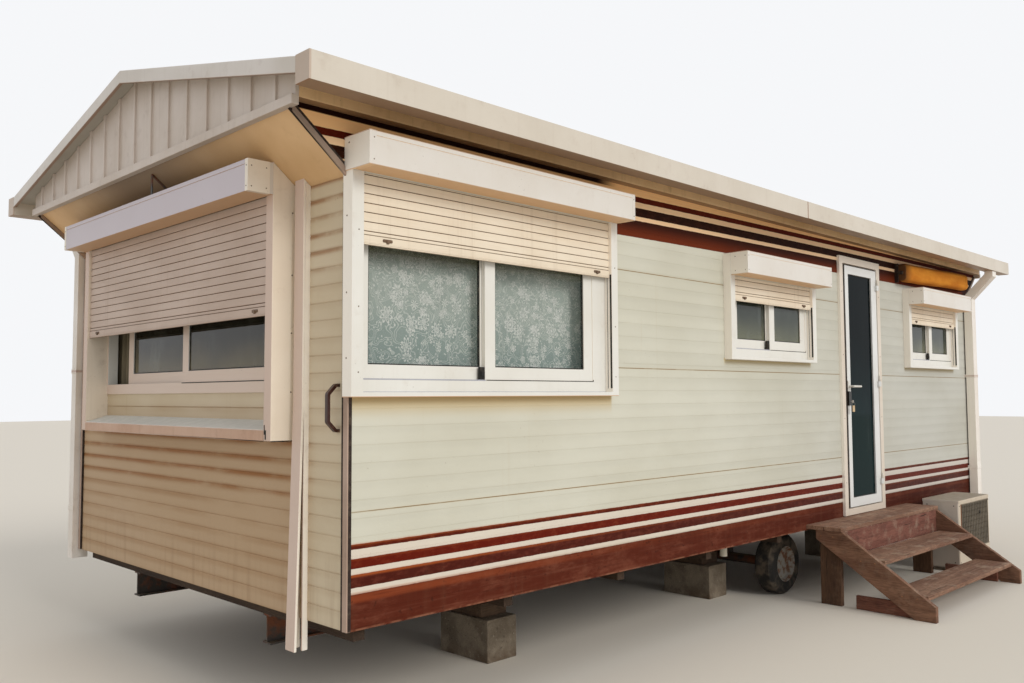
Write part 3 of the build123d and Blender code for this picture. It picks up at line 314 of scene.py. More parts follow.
def siding_finish(name, stripes, light, deep, stain, grime, streaks, grooves):
    """Cream ribbed siding with grime in its grooves and, on the long walls, painted brown stripes."""
    f = Finish(name, Specular_IOR_Level=0.06)
    patches = f.noise(0.9, (1, 1, 1.8), 5.0)
    f.colour = f.mix(f.rise(patches, 0.32, 0.68), light, deep)
    plank = f.node("ShaderNodeTexWhiteNoise", {"noise_dimensions": "1D"}, {"W": f.maths("FLOOR", f.z / PLANK)},
                   "Value")
    f.colour = f.shade(f.colour, plank, 0.035)
    drips = f.noise(1.0, (34, 34, 0.9), 2.0, 3.0)
    below = f.patch(0.45, 0.75, 2.2, (1, 1, 0.6), 2.0, 9.0)
    f.lay(f.rise(drips, 0.58, 0.82) * below * streaks, stain)
    seams = joint_mask(f, f.z, PLANK, 0.006)
    broken = f.patch(0.30, 0.62, 2.6, (1, 1, 6), 4.0, 5.0)
    faint = 1.0 if stripes else f.rise(f.y, 0.24, 0.40) * 0.8 + 0.2
    f.lay(seams * (broken * 0.7 + 0.3) * grooves * faint, grime)
    if not stripes:
        end_wall_grime(f)
    specks = f.patch(0.75, 0.80, 95.0, EVEN, 1.0, 2.0) * f.patch(0.5, 0.7, 3.0, EVEN, 2.0, 6.0)
    f.lay(specks * 0.5, (118, 84, 54))
    gloss = 0.34 + patches * 0.14
    if stripes:
        gloss = gloss + long_wall_paint(f, broken)
    foot = f.rise(f.z, 0.42, 0.02) * f.patch(0.46, 0.74, 1.0, (20, 20, 1.4), 4.0, 17.0)
    f.lay(foot * (0.05 if stripes else 0.30), (150, 120, 92))
    f.relief(f.noise(7.0, (1, 1, 2.0), 3.0, 1.0) + f.noise(160.0, EVEN, 2.0) * 0.06, 0.004, 0.30)
    f.feed(Roughness=gloss)


def coated(name, light, dark, grime, gloss=0.36, dirt=0.5, metal=0.0, streak=0.3, under=0.4, marks=()):
    """A painted or coated profile: slight patches, rain streaks, dust on what faces up, painted shade on what faces
    down,
    small chips, and marks: bands of another colour, many of them painted light or shade, each between two values of
    one coordinate or facing; "side" and "front_z" count on the front wall's pieces only, "end_out" and "end_down"
    on the end wall's."""
    f = Finish(name, Metallic=metal, Specular_IOR_Level=0.45)
    patches = f.noise(2.3, EVEN, 4.0, 2.0)
    f.colour = f.mix(f.rise(patches, 0.30, 0.72), light, dark)
    streaks = f.patch(0.52, 0.82, 1.0, (42, 42, 1.3), 4.0, 7.0)
    f.lay(streaks * dirt * streak, grime)
    cloud = f.patch(0.54, 0.78, 11.0, EVEN, 6.0, 4.0, 0.65)
    f.lay(cloud * dirt * 0.45, grime)
    dust = f.rise(f.facing_z, 0.55, 0.95) * f.patch(0.34, 0.62, 14.0, EVEN, 5.0, 11.0)
    f.lay(dust * dirt * 0.55, (150, 132, 108))
    # Painted shade on what faces down, in the grime's colour.
    f.lay(f.rise(f.facing_z, -0.35, -0.9) * under, grime)
    places = {"x": f.x, "y": f.y, "z": f.z, "down": f.facing_z, "out": f.facing_x}
    if marks:
        end = f.rise(f.y, 0.30, 0.35) * 5.0
        places |= {"side": f.facing_x + end, "front_z": f.z + end, "end_out": f.facing_x + end - 5.0,
                   "end_down": f.facing_z + end - 5.0}
    for axis, low, high, soft, tone, share in marks:
        f.lay(f.strip(places[axis], low, high, soft) * share, tone)
    chips = f.patch(0.76, 0.80, 120.0, EVEN, 1.0, 9.0) * f.patch(0.46, 0.66, 4.0, EVEN, 2.0, 1.0)
    f.lay(chips * 0.7, (96, 70, 50))
    f.relief(f.noise(240.0, EVEN, 2.0) * 0.3 + patches, 0.0012, 0.3)
    f.feed(Roughness=gloss + patches * 0.14 + dust * 0.25)


def slatted():
    """Shutter slats: cream, with fine dirt lines and thin scratches along them, painted pinkish shade on the end
    window's curtain and painted shade on the slats' upper and lower faces.
    """
    f = Finish("shutter_slat_cream", Specular_IOR_Level=0.4)
    patches = f.noise(2.0, (1, 1, 3), 4.0, 2.0)
    f.colour = f.mix(f.rise(patches, 0.3, 0.7), (236, 223, 202), (226, 210, 186))
    # The end window's curtain in painted pinkish shade.
    end = f.rise(f.x, 0.05, 0.0) * f.rise(f.y, 0.30, 0.36)
    f.lay(end, f.mix(f.rise(patches, 0.3, 0.7), (202, 181, 166), (190, 168, 152)))
    scuffs = f.patch(0.56, 0.78, 1.0, (3, 3, 180), 3.0, 5.0)
    f.lay(scuffs * 0.24, (170, 136, 98))
    drips = f.patch(0.54, 0.80, 1.0, (38, 38, 1.2), 3.0, 4.0)
    f.lay(drips * 0.16, (150, 122, 90))
    # Painted brown shade on the slats' upper and lower faces, for the gaps between them.
    turned = f.rise(abs(f.facing_z), 0.35, 0.85)
    f.lay(turned * 0.6, (120, 84, 52))
    f.relief(f.noise(1.0, (4, 4, 220), 2.0) + patches * 0.4, 0.001, 0.3)
    f.feed(Roughness=0.42 + patches * 0.12)


def weathered_wood(name, light, mid, dark, along, wear=0.6):
    """Bare weathered timber: long grain, checks, worn pale upper edges and ground-in dirt."""
    f = Finish(name, Specular_IOR_Level=0.25)
    stretch, loose = (tuple(length if axis == along else width for axis in "xyz")
                      for length, width in ((1.6, 42), (1.1, 9)))
    grain = f.noise(1.0, stretch, 5.0, 3.0, 0.7)
    figure = f.noise(1.0, loose, 4.0, 8.0, 0.6)
    lines = f.maths("SINE", figure * 110.0 + grain * 8.0) * 0.5 + 0.5
    f.colour = f.mix(f.rise(figure, 0.30, 0.72), mid, light)
    f.lay(f.rise(lines, 0.35, 0.95) * 0.34, dark)
    f.lay(f.rise(grain, 0.50, 0.72) * 0.6, dark)
    pale = f.patch(0.50, 0.66, 7.0, EVEN, 7.0, 5.0, 0.76)
    f.lay(pale * wear * (0.25 + f.rise(f.facing_z, 0.2, 0.9) * 0.55), (168, 148, 128))
    dirt = f.patch(0.50, 0.74, 9.0, EVEN, 5.0, 14.0, 0.7)
    f.lay(dirt * 0.45, (58, 42, 32))
    checks = f.patch(0.70, 0.76, 1.0, tuple(part * 1.8 for part in stretch), 2.0, 12.0)
    f.lay(checks * 0.85, (30, 21, 16))
    f.relief(grain * 0.5 + lines * 0.25 - checks * 1.2, 0.004, 0.55)
    f.feed(Roughness=0.68 + grain * 0.22)


def concrete():
    """Sandy grey concrete with pits, damp at the ground."""
    f = Finish("grey_concrete", Specular_IOR_Level=0.2)
    sand = f.noise(170.0, EVEN, 3.0)
    patches = f.noise(6.0, EVEN, 5.0, 4.0, 0.65)
    f.colour = f.mix(f.rise(patches, 0.34, 0.66), (134, 122, 106), (102, 91, 77))
    f.lay(f.rise(sand, 0.50, 0.72) * 0.5, (76, 68, 58))
    f.lay(f.patch(0.66, 0.74, 60.0, EVEN, 2.0, 7.0) * 0.5, (176, 166, 150))
    damp = f.rise(f.z, GROUND + 0.09, GROUND + 0.005) * f.rise(patches, 0.30, 0.6)
    f.lay(damp * 0.6, (84, 66, 50))
    pits = f.patch(0.63, 0.72, 44.0, EVEN, 3.0, 9.0)
    f.relief(sand * 0.5 + patches - pits * 1.6, 0.006, 0.7)
    f.feed(Roughness=0.86 + sand * 0.1)


def chassis_steel():
    """Dark painted steel with rust patches and dust on what faces up."""
    f = Finish("chassis_steel", Specular_IOR_Level=0.4)
    rust = f.patch(0.44, 0.62, 7.0, EVEN, 7.0, 2.0, 0.7)
    f.colour = f.mix(f.noise(30.0, EVEN, 3.0), (58, 52, 46), (40, 36, 33))
    rusty = f.mix(f.noise(48.0, EVEN, 4.0, 5.0), (122, 70, 40), (82, 48, 32))
    f.lay(rust, rusty)
    f.lay(f.rise(f.facing_z, 0.5, 0.95) * 0.6, (120, 104, 86))
    f.relief(f.noise(70.0, EVEN, 4.0) * (0.3 + rust), 0.003, 0.6)
    f.feed(Roughness=0.5 + rust * 0.35)


def tyre_rubber():
    """Dusty tyres with rings, and the pale rusted rim in their middle."""
    f = Finish("tyre_rubber", Specular_IOR_Level=0.3)
    dust = f.patch(0.40, 0.66, 14.0, EVEN, 5.0, 3.0)
    upright = f.node("ShaderNodeCombineXYZ", {}, [f.x, 0.0, f.z])
    away = f.vector("DISTANCE", upright, WHEEL_CENTRE, out="Value")
    rim = f.rise(away, 0.134, 0.130)
    f.colour = f.mix(dust * 0.7, (36, 34, 32), (104, 92, 78))
    rusty = f.mix(f.patch(0.44, 0.62, 22.0, EVEN, 5.0, 7.0), (150, 146, 138), (112, 74, 50))
    f.lay(rim, rusty)
    rings = f.maths("SINE", away * 900.0) * (1.0 - rim)
    f.relief(rings * 0.5 + f.noise(90.0), 0.0015, 0.5)
    f.feed(Roughness=0.86 - rim * 0.35)


def window_panes():
    """Glass: nearly clear over the lace, with painted reflections: greener and darker in the small windows and
    brown at the end window; painted shade under the front shutter.
    """
    f = Finish("window_panes", IOR=1.5, Specular_IOR_Level=0.4)
    front = f.rise(f.x, 1.90, 1.85) * f.rise(f.y, 0.20, 0.10)
    end = f.rise(f.x, 0.12, 0.10) * f.rise(f.y, 0.40, 0.45)
    cloud = f.noise(3.0, EVEN, 4.0, 2.0)
    # The small and end panes' tones are painted reflections, paler low and darker high.
    small = f.mix(f.rise(f.z + cloud * 0.16, 1.40, 1.62), (112, 114, 92), (62, 68, 62))
    brown = f.mix(f.rise(f.z + cloud * 0.20, 1.20, 1.42), (104, 94, 66), (46, 44, 36))
    f.colour = f.mix(end, f.mix(front, small, (70, 84, 80)), brown)
    wiped = f.patch(0.50, 0.78, 1.0, (9, 9, 2.2), 5.0, 7.0, 0.65)
    f.lay(wiped * 0.18, (150, 158, 150))
    # Painted shade along the top of the front pane, under its shutter.
    under = f.rise(f.z + cloud * 0.03, 1.600, 1.645) * front
    f.lay(under, (84, 86, 62))
    dim = 0.80 - front * 0.66 + end * 0.02 + under * 0.30
    f.feed(Roughness=0.03 + wiped * 0.10, Alpha=dim + wiped * 0.05)


def door_glazing():
    """The door's dark glass: black-green above, a little paler towards its foot."""
    f = Finish("door_pane", IOR=1.45, Specular_IOR_Level=0.04)
    cloud = f.noise(2.0, (2, 1, 1), 4.0, 2.0)
    f.colour = f.mix(f.rise(f.z + cloud * 0.5, 1.75, 0.75), (4, 14, 17), (20, 40, 42))
    wiped = f.patch(0.52, 0.80, 1.0, (9, 9, 1.4), 5.0, 7.0, 0.65)
    f.lay(wiped * 0.05, (130, 140, 136))
    f.feed(Roughness=0.05 + wiped * 0.12, Alpha=0.93 + wiped * 0.04)


def awning_canvas():
    """Orange woven cloth, faded and dirty, with painted shadow of the eave along its top, painted shade at its near
    end, and a thin line near its far end.
    """
    f = Finish("awning_canvas", Specular_IOR_Level=0.15)
    threads = f.maths("SINE", f.x * 2600.0) * f.maths("SINE", f.z * 2600.0)
    fade = f.noise(3.0, (1, 3, 3), 5.0, 4.0)
    f.colour = f.mix(f.rise(fade, 0.32, 0.70), (216, 142, 48), (194, 118, 36))
    dirt = f.patch(0.48, 0.76, 1.0, (3, 4, 6), 5.0, 9.0)
    f.lay(dirt * 0.30, (136, 84, 38))
    # Painted shadow of the eave along the top of the cloth.
    over = f.rise(f.z - (f.x - 5.709) * 0.0265, 2.085, 2.125)
    f.lay(over * 0.7, (110, 66, 30))
    # Painted shade over the near end of the cloth.
    f.lay(f.rise(f.x, 5.86, 5.70) * 0.75, (104, 66, 34))
    f.lay(f.strip(f.x, 7.150, 7.158, 0.002) * 0.5, (140, 84, 30))
    # Painted shade on what faces the near end.
    f.lay(f.rise(f.facing_x, -0.3, -0.7) * 0.9, (92, 62, 40))
    f.relief(threads * 0.2 + fade, 0.002, 0.5)
    f.feed(Roughness=0.86 + fade * 0.1)


def lace_net():
    """White net with a floral figure: flowers with petals in cells, and vine lines that wind between them."""
    f = Finish("lace_net", Specular_IOR_Level=0.1)
    bend = f.node("ShaderNodeTexNoise", {}, {"Vector": f.place, "Scale": 5.0, "Detail": 1.0}, "Color")
    shift = f.node("ShaderNodeVectorMath", {"operation": "SCALE"}, {0: bend, "Scale": 0.06})
    warped = f.vector("ADD", f.place, shift)
    flat = f.vector("MULTIPLY", warped, (1.0, 0.0, 1.0))
    figure = 0.0
    for scale, size, petals, seed in ((10.5, 0.38, 8.0, 0.0), (18.0, 0.32, 5.0, 3.7)):
        place = f.vector("ADD", flat, (seed, 0.0, seed * 0.7))
        centre = f.node("ShaderNodeTexVoronoi", {"voronoi_dimensions": "3D"},
                        {"Vector": place, "Scale": scale, "Randomness": 0.75}, "Position")
        away = f.vector("SUBTRACT", place, centre)
        side = f.node("ShaderNodeSeparateXYZ", {}, [away], 0)
        up = f.node("ShaderNodeSeparateXYZ", {}, [away], 2)
        far = f.vector("LENGTH", away, out="Value") * scale
        turn = f.maths("ARCTAN2", up, side)
        lobes = abs(f.maths("SINE", turn * (petals / 2.0)))
        outline = lobes * size * 0.5 + size * 0.5
        ring = f.rise(abs(far - outline), 0.050, 0.022)
        inner = f.rise(abs(far - outline * 0.55), 0.036, 0.014)
        heart = f.rise(far, 0.09, 0.07)
        figure = ring + inner + heart + figure
    vines = f.node("ShaderNodeTexNoise", {}, {"Vector": flat, "Scale": 12.0, "Detail": 1.0})
    for level in (0.42, 0.47, 0.53, 0.58):
        figure = figure + f.rise(abs(vines - level), 0.013, 0.004) * 0.55
    leaves = f.node("ShaderNodeTexVoronoi", {"feature": "F1"}, {"Vector": flat, "Scale": 52.0}, "Distance")
    figure = figure + f.rise(leaves, 0.26, 0.20) * 0.7
    figure = f.maths("MINIMUM", figure, 1.0)
    cross = abs(f.maths("SINE", f.x * 1500.0)) + abs(f.maths("SINE", f.z * 1500.0))
    net = f.rise(cross, 1.0, 1.7) * 0.05 + 0.84
    cloud = f.noise(1.6, (1.0, 1.0, 3.0), 3.0, 8.0)
    ground = f.mix(f.rise(f.z + cloud * 0.5, 1.38, 1.72), (172, 190, 184), (202, 213, 204))
    f.colour = f.mix(figure, ground, (250, 252, 246))
    f.relief(figure, 0.002, 0.4)
    f.feed(Alpha=net + figure * (0.97 - net), Roughness=figure * 0.1 + 0.85)


def curtain_cloth():
    """A plain heavy curtain, faded in patches."""
    f = Finish("heavy_curtain", Specular_IOR_Level=0.1)
    fade = f.noise(5.0, EVEN, 4.0)
    f.colour = f.mix(fade, (132, 122, 100), (98, 90, 74))
    f.relief(f.noise(320.0, EVEN, 2.0), 0.001, 0.5)
    f.feed(Roughness=0.9 + fade * 0.05)


def wall_panels():
    """The walls themselves: raw framing edge outside, a plain pale wooden panel inside."""
    f = Finish("wall_panels", Specular_IOR_Level=0.3)
    grain = f.noise(1.0, (26, 26, 1.1), 5.0, 3.0, 0.65)
    inside = f.strip(f.x, 0.030, LENGTH - 0.030, 0.002) * f.strip(f.y, 0.030, WIDTH - 0.030, 0.002)
    panel = f.mix(f.rise(grain, 0.34, 0.68), (188, 160, 122), (158, 128, 92))
    seam = joint_mask(f, f.x + f.y, 0.305, 0.004)
    panel = f.mix(seam * 0.7, panel, (96, 72, 50))
    outer = f.mix(grain, (206, 198, 176), (186, 174, 150))
    f.colour = f.mix(inside, outer, panel)
    f.feed(Roughness=0.5 + grain * 0.2)


def floor_cover():
    """Plank-patterned floor cover, darker underneath."""
    f = Finish("floor_cover", Specular_IOR_Level=0.35)
    grain = f.noise(1.0, (2.0, 34, 10), 5.0, 3.0, 0.65)
    f.colour = f.mix(f.rise(grain, 0.32, 0.70), (150, 116, 82), (112, 82, 56))
    plank = joint_mask(f, f.y, 0.12, 0.0025)
    f.lay(plank * 0.8, (56, 40, 28))
    under = f.rise(f.facing_z, -0.5, -0.9)
    f.lay(under, (84, 66, 50))
    f.feed(Roughness=0.42 + grain * 0.2 + under * 0.3)


def brown_paint():
    """Dark brown gloss paint, worn through to the metal."""
    f = Finish("brown_handle_paint", Specular_IOR_Level=0.5)
    worn = f.patch(0.56, 0.68, 40.0, EVEN, 4.0, 3.0)
    f.colour = f.mix(worn, (56, 27, 19), (112, 84, 68))
    f.feed(Roughness=0.32 + worn * 0.3, Metallic=worn * 0.4)


def satin_steel():
    """Brushed steel."""
    f = Finish("satin_steel", Metallic=0.9)
    brushed = f.noise(1.0, (30, 30, 400), 3.0, 4.0)
    f.colour = f.mix(f.rise(brushed, 0.3, 0.7), (206, 204, 200), (176, 173, 168))
    f.feed(Roughness=0.24 + brushed * 0.2)


def dark_rubber(name, tone):
    """Black or brown rubber and plastic with dust."""
    f = Finish(name, Specular_IOR_Level=0.3)
    dust = f.patch(0.44, 0.70, 30.0, EVEN, 4.0)
    f.colour = f.mix(dust * 0.5, tone, (96, 84, 70))
    f.feed(Roughness=0.62 + dust * 0.2)


siding_finish("front_siding", True, light=(213, 211, 196), deep=(204, 201, 184), stain=(186, 166, 130),
              grime=(158, 134, 102), streaks=0.22, grooves=0.07)
siding_finish("end_siding", False, light=(216, 201, 175), deep=(205, 188, 158), stain=(166, 128, 84),
              grime=(134, 96, 58), streaks=0.30, grooves=0.60)

# Marks: the range of a facing that looks against or along its axis, painted light on the front pieces' sides, brown
# lines along the boxes' top and bottom edges.
TOWARDS = (-1.1, -0.8, 0.05)
AWAY = (0.8, 1.1, 0.05)
LIT_SIDE = ("side", *TOWARDS, (255, 248, 236), 1.0)
BOX_EDGES = tuple(("front_z", low, high, 0.0006, (190, 142, 96), 0.55) for low, high in (
    (2.0965, 2.1020), (1.9165, 1.9220), (1.9540, 1.9570), (1.7740, 1.7770)))

# The window white: painted light on the front pieces' sides, and painted pinkish shade on what faces out on the end
# wall.
coated("window_white", (230, 228, 221), (223, 220, 211), (170, 146, 118), 0.30, 0.35, streak=0.15, under=0.2,
       marks=(LIT_SIDE, ("z", 0.984, 0.9885, 0.001, (214, 160, 108), 0.8),
              ("end_out", *TOWARDS, (216, 192, 174), 0.9)))
# The casing: painted pinkish shade on what faces out, painted pale sky light on what faces up.
coated("casing_white", (240, 228, 210), (232, 218, 198), (150, 116, 86), 0.34, 0.50, streak=0.15,
       marks=(("out", *TOWARDS, (206, 178, 162), 0.8), ("down", *AWAY, (214, 216, 212), 0.8)))
coated("ledge_tan", (204, 170, 146), (192, 154, 128), (128, 84, 52), 0.40, 0.7)
# The boxes: painted warm bounce light on their undersides and painted light on the front ones' sides; on the end
# box, painted lavender shade on what faces out and painted shade underneath.
coated("box_white", (224, 219, 212), (217, 210, 200), (160, 130, 102), 0.32, 0.30, streak=0.1, under=0.0,
       marks=(("down", *TOWARDS, (252, 214, 168), 1.0), LIT_SIDE, *BOX_EDGES,
              ("end_out", *TOWARDS, (200, 190, 198), 0.9),
              ("end_down", *TOWARDS, (186, 146, 108), 0.9)))
# A lighter copy of the trims' white, for their painted light, with painted pinkish shade on what faces out.
coated("trim_white_light_and_shade", (255, 248, 236), (248, 238, 222), (150, 116, 86), 0.34, 0.40, streak=0.15,
       marks=(("out", *TOWARDS, (206, 178, 162), 0.8),))
# A lighter copy of the box white: painted light on the end box's caps.
coated("end_box_white_lit", (246, 238, 224), (236, 226, 210), (160, 130, 102), 0.32, 0.30, streak=0.1)
coated("door_white", (226, 226, 225), (218, 218, 215), (166, 146, 124), 0.28, 0.30, streak=0.15)
# Painted light on the door frame's side.
coated("door_frame_cream", (222, 210, 196), (212, 199, 183), (160, 128, 98), 0.32, 0.35, streak=0.2,
       marks=(LIT_SIDE,))
# The eave boards: a warm ochre that is partly painted warm bounce light, painted shade underneath, and dark bands
# of painted shade in the gap behind each gutter.
coated("eave_warm_light_and_shade", (234, 198, 152), (216, 178, 130), (112, 78, 50), 0.42, 0.60, under=0.8,
       marks=(("y", -0.215, -0.168, 0.014, (46, 30, 20), 0.9),
              ("y", WIDTH + 0.168, WIDTH + 0.215, 0.014, (46, 30, 20), 0.9)))
# The bargeboards: painted shade on what faces down.
coated("barge_cream", (216, 209, 202), (204, 196, 186), (132, 96, 70), 0.36, 0.45, streak=0.2, under=0.85)
# The soffits: a warm ochre that is partly painted warm bounce light, with painted shade along their middle.
coated("soffit_warm_light_and_shade", (232, 194, 146), (216, 176, 126), (176, 132, 84), 0.45, 0.55, streak=0.0, under=0.1,
       marks=(("y", 0.8, 2.4, 0.7, (98, 76, 54), 0.90),))
# Painted shade on the gutters' undersides.
coated("gutter_cream", (212, 203, 189), (204, 194, 179), (140, 106, 76), 0.34, 0.35, streak=0.2, under=0.9,
       marks=(("x", -0.4045, -0.394, 0.002, (150, 96, 56), 0.35),))
# Painted light on the downpipe's side.
coated("pipe_cream", (238, 232, 224), (226, 217, 206), (150, 116, 88), 0.34, 0.45, streak=0.3,
       marks=(LIT_SIDE, ("z", 1.158, 1.172, 0.006, (150, 84, 44), 0.5)))
coated("gable_white", (212, 200, 190), (199, 185, 172), (132, 108, 86), 0.42, 0.45, streak=0.35)
coated("roof_grey", (196, 193, 185), (184, 180, 170), (136, 122, 104), 0.50, 0.30)
coated("rail_pink", (190, 164, 148), (168, 142, 124), (96, 70, 54), 0.34, 0.70,
       marks=(("z", 1.950, 2.25, 0.004, (140, 120, 104), 0.8),))
slatted()
# A brown that stands for the shade in slots and gaps.
coated("slot_shade_brown", (126, 76, 38), (108, 62, 30), (60, 38, 24), 0.7, 0.5)
# The unit: painted light on its side and on what faces up.
coated("ac_beige", (204, 190, 170), (190, 176, 156), (128, 104, 80), 0.44, 0.45, streak=0.5,
       marks=(("side", *TOWARDS, (208, 199, 188), 0.8),
              ("down", *AWAY, (212, 198, 178), 0.6)))
coated("ac_grille_green", (84, 76, 64), (66, 60, 50), (46, 36, 28), 0.6, 0.8)
coated("guard_buff", (122, 110, 92), (104, 94, 78), (70, 58, 44), 0.6, 0.6)
weathered_wood("step_wood", (154, 120, 98), (122, 88, 70), (74, 48, 36), "x", 0.8)
weathered_wood("stringer_wood", (142, 106, 84), (116, 82, 64), (72, 48, 36), "y")
weathered_wood("post_wood", (110, 80, 58), (84, 60, 44), (50, 34, 26), "z", 0.3)
weathered_wood("apron_wood", (132, 86, 72), (110, 66, 54), (72, 42, 34), "x", 1.6)
weathered_wood("side_board_wood", (140, 92, 74), (112, 70, 56), (66, 40, 32), "y", 0.5)
# The packers' wood is painted darker, as the shade under the home.
weathered_wood("packer_wood_in_shade", (92, 72, 54), (70, 54, 42), (42, 32, 26), "x", 0.2)
# The joists' wood is painted dark, as the shade under the home.
weathered_wood("joist_wood_in_shade", (72, 56, 42), (58, 44, 34), (36, 28, 22), "y", 0.1)
concrete()
chassis_steel()
tyre_rubber()
window_panes()
door_glazing()
awning_canvas()
lace_net()
curtain_cloth()
wall_panels()
floor_cover()
brown_paint()
satin_steel()
coated("handle_white", (226, 224, 218), (214, 210, 202), (120, 104, 88), 0.26, 0.3,
       marks=(("z", 0.890, 1.012, 0.001, (26, 24, 23), 1.0),))
dark_rubber("gasket_and_shade_black", (34, 34, 32))
dark_rubber("black_plastic_and_shade", (26, 25, 24))
dark_rubber("seal_and_shade_brown", (38, 24, 18))
# A grey for lines of painted shade along the sills.
coated("shade_line_grey", (176, 176, 184), (160, 160, 170), (110, 100, 96), 0.4, 0.4)
coated("latch_brown", (118, 92, 68), (96, 74, 54), (52, 36, 26), 0.45, 0.5)
coated("pale_pipe", (206, 198, 182), (192, 182, 164), (140, 112, 84), 0.4, 0.6)
coated("rusty_joint", (150, 98, 62), (126, 74, 44), (84, 46, 28), 0.6, 0.8)
coated("screw_grey", (128, 112, 94), (104, 86, 68), (70, 48, 34), 0.4, 0.6, 0.5)
coated("tag_buff", (206, 180, 142), (190, 160, 120), (120, 90, 62), 0.5, 0.5)
coated("ceiling_board", (214, 206, 190), (206, 196, 178), (170, 154, 130), 0.6, 0.3)


# Making pieces

def dress(finish, *names):
    """Nodes that keep their own shape get a finish."""
    for name in names:
        for place in nodes[name].material_slots:
            place.material = FINISHES[finish].material


def piece(name, mesh, finish, body="home", stands_for=(), shift=True):
    """A finished piece from a bmesh, riding on a body, in the place where the mesh has it."""
    if shift:
        bmesh.ops.recalc_face_normals(mesh, faces=mesh.faces)
        bmesh.ops.translate(mesh, vec=HOME, verts=mesh.verts)
    data = bpy.data.meshes.new(name)
    mesh.to_mesh(data)
    mesh.free()
    data.materials.append(FINISHES[finish].material)
    made = bpy.data.objects.new(name, data)
    bpy.context.scene.collection.objects.link(made)
    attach(made, body)
    if stands_for:
        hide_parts(*stands_for)
    return made


def soften(node, finish, ease, body="home", reshape=None):
    """A merged copy of a node with its edges eased, in the node's own place."""
    mesh = bmesh.new()
    mesh.from_mesh(nodes[node].data)
    bmesh.ops.remove_doubles(mesh, verts=mesh.verts, dist=1e-5)
    bmesh.ops.dissolve_limit(mesh, angle_limit=math.radians(1.0), verts=mesh.verts, edges=mesh.edges)
    if reshape:
        reshape(mesh)
    sharp = [edge for edge in mesh.edges if edge.is_manifold and edge.calc_face_angle(0.0) > math.radians(40)]
    bmesh.ops.bevel(mesh, geom=sharp, offset=ease, segments=2, profile=0.5, affect="EDGES", material=-1,
                    clamp_overlap=True)
    piece(node + "_eased", mesh, finish, body, (node,), shift=False)


def slab(mesh, low, high, ease=0.0, segments=2):
    """A straight block between two corners, with its edges eased."""
    low, high = Vector(low), Vector(high)
    size = Matrix.Diagonal((high - low).to_4d())
    size[3][3] = 1.0
    corners = bmesh.ops.create_cube(mesh, size=1.0, matrix=Matrix.Translation((low + high) / 2) @ size)["verts"]
    if ease:
        edges = list({edge for corner in corners for edge in corner.link_edges})
        bmesh.ops.bevel(mesh, geom=edges, offset=ease, segments=segments, profile=0.5, affect="EDGES", material=-1)
    return corners


def blocks(*rows):
    """A new mesh of straight blocks, each from what slab takes."""
    mesh = bmesh.new()
    for row in rows:
        slab(mesh, *row)
    return mesh


def studs(mesh, centres, radius, height, along, sides=10):
    """Small domed screw or nail heads that stand out along a direction."""
    turn = Vector(along).to_track_quat("Z", "Y").to_matrix().to_4x4()
    for centre in centres:
        place = Matrix.Translation(Vector(centre) + Vector(along) * height / 2) @ turn
        bmesh.ops.create_cone(mesh, cap_ends=True, segments=sides, radius1=radius, radius2=radius * 0.6,
                              depth=height, matrix=place)


def join(parts, part, wall=None):
    """Adds a small mesh to a larger one, stood on its wall."""
    if wall:
        bmesh.ops.transform(part, matrix=wall, verts=part.verts)
    data = bpy.data.meshes.new("part")
    part.to_mesh(data)
    part.free()
    parts.from_mesh(data)
    bpy.data.meshes.remove(data)


def add_copy(mesh, turn):
    """Adds a copy of all that a mesh holds, turned or mirrored to its other place."""
    copy = bmesh.ops.duplicate(mesh, geom=[*mesh.verts, *mesh.edges, *mesh.faces])["geom"]
    bmesh.ops.transform(mesh, matrix=turn, verts=[part for part in copy if isinstance(part, bmesh.types.BMVert)])


# One matrix for each wall stands its flat siding up; another moves a part from the front wall's places to a wall's.

UPRIGHT = Matrix(((1, 0, 0, 0), (0, 0, -1, -SKIN), (0, 1, 0, 0), (0, 0, 0, 1)))
BACK = Matrix(((-1, 0, 0, LENGTH), (0, 0, 1, WIDTH + SKIN), (0, 1, 0, 0), (0, 0, 0, 1)))
NEAR_END = Matrix(((0, 0, -1, -SKIN), (-1, 0, 0, WIDTH), (0, 1, 0, 0), (0, 0, 0, 1)))
FAR_END = Matrix(((0, 0, 1, LENGTH + SKIN), (1, 0, 0, 0), (0, 1, 0, 0), (0, 0, 0, 1)))

FRONT_FACE = Matrix.Identity(4)
BACK_FACE = Matrix(((-1, 0, 0, LENGTH), (0, -1, 0, WIDTH), (0, 0, 1, 0), (0, 0, 0, 1)))
END_FACE = Matrix(((0, 1, 0, 0), (-1, 0, 0, WIDTH), (0, 0, 1, 0), (0, 0, 0, 1)))


def outside(spot, low, high, openings):
    """Whether a place on a flat wall lies past its edges or in one of its openings."""
    past = not low[0] < spot.x < high[0] and spot.y < BEAK[1]
    return past or spot.y > high[1] or any(x0 < spot.x < x1 and z0 < spot.y < z1 for x0, x1, z0, z1 in openings)


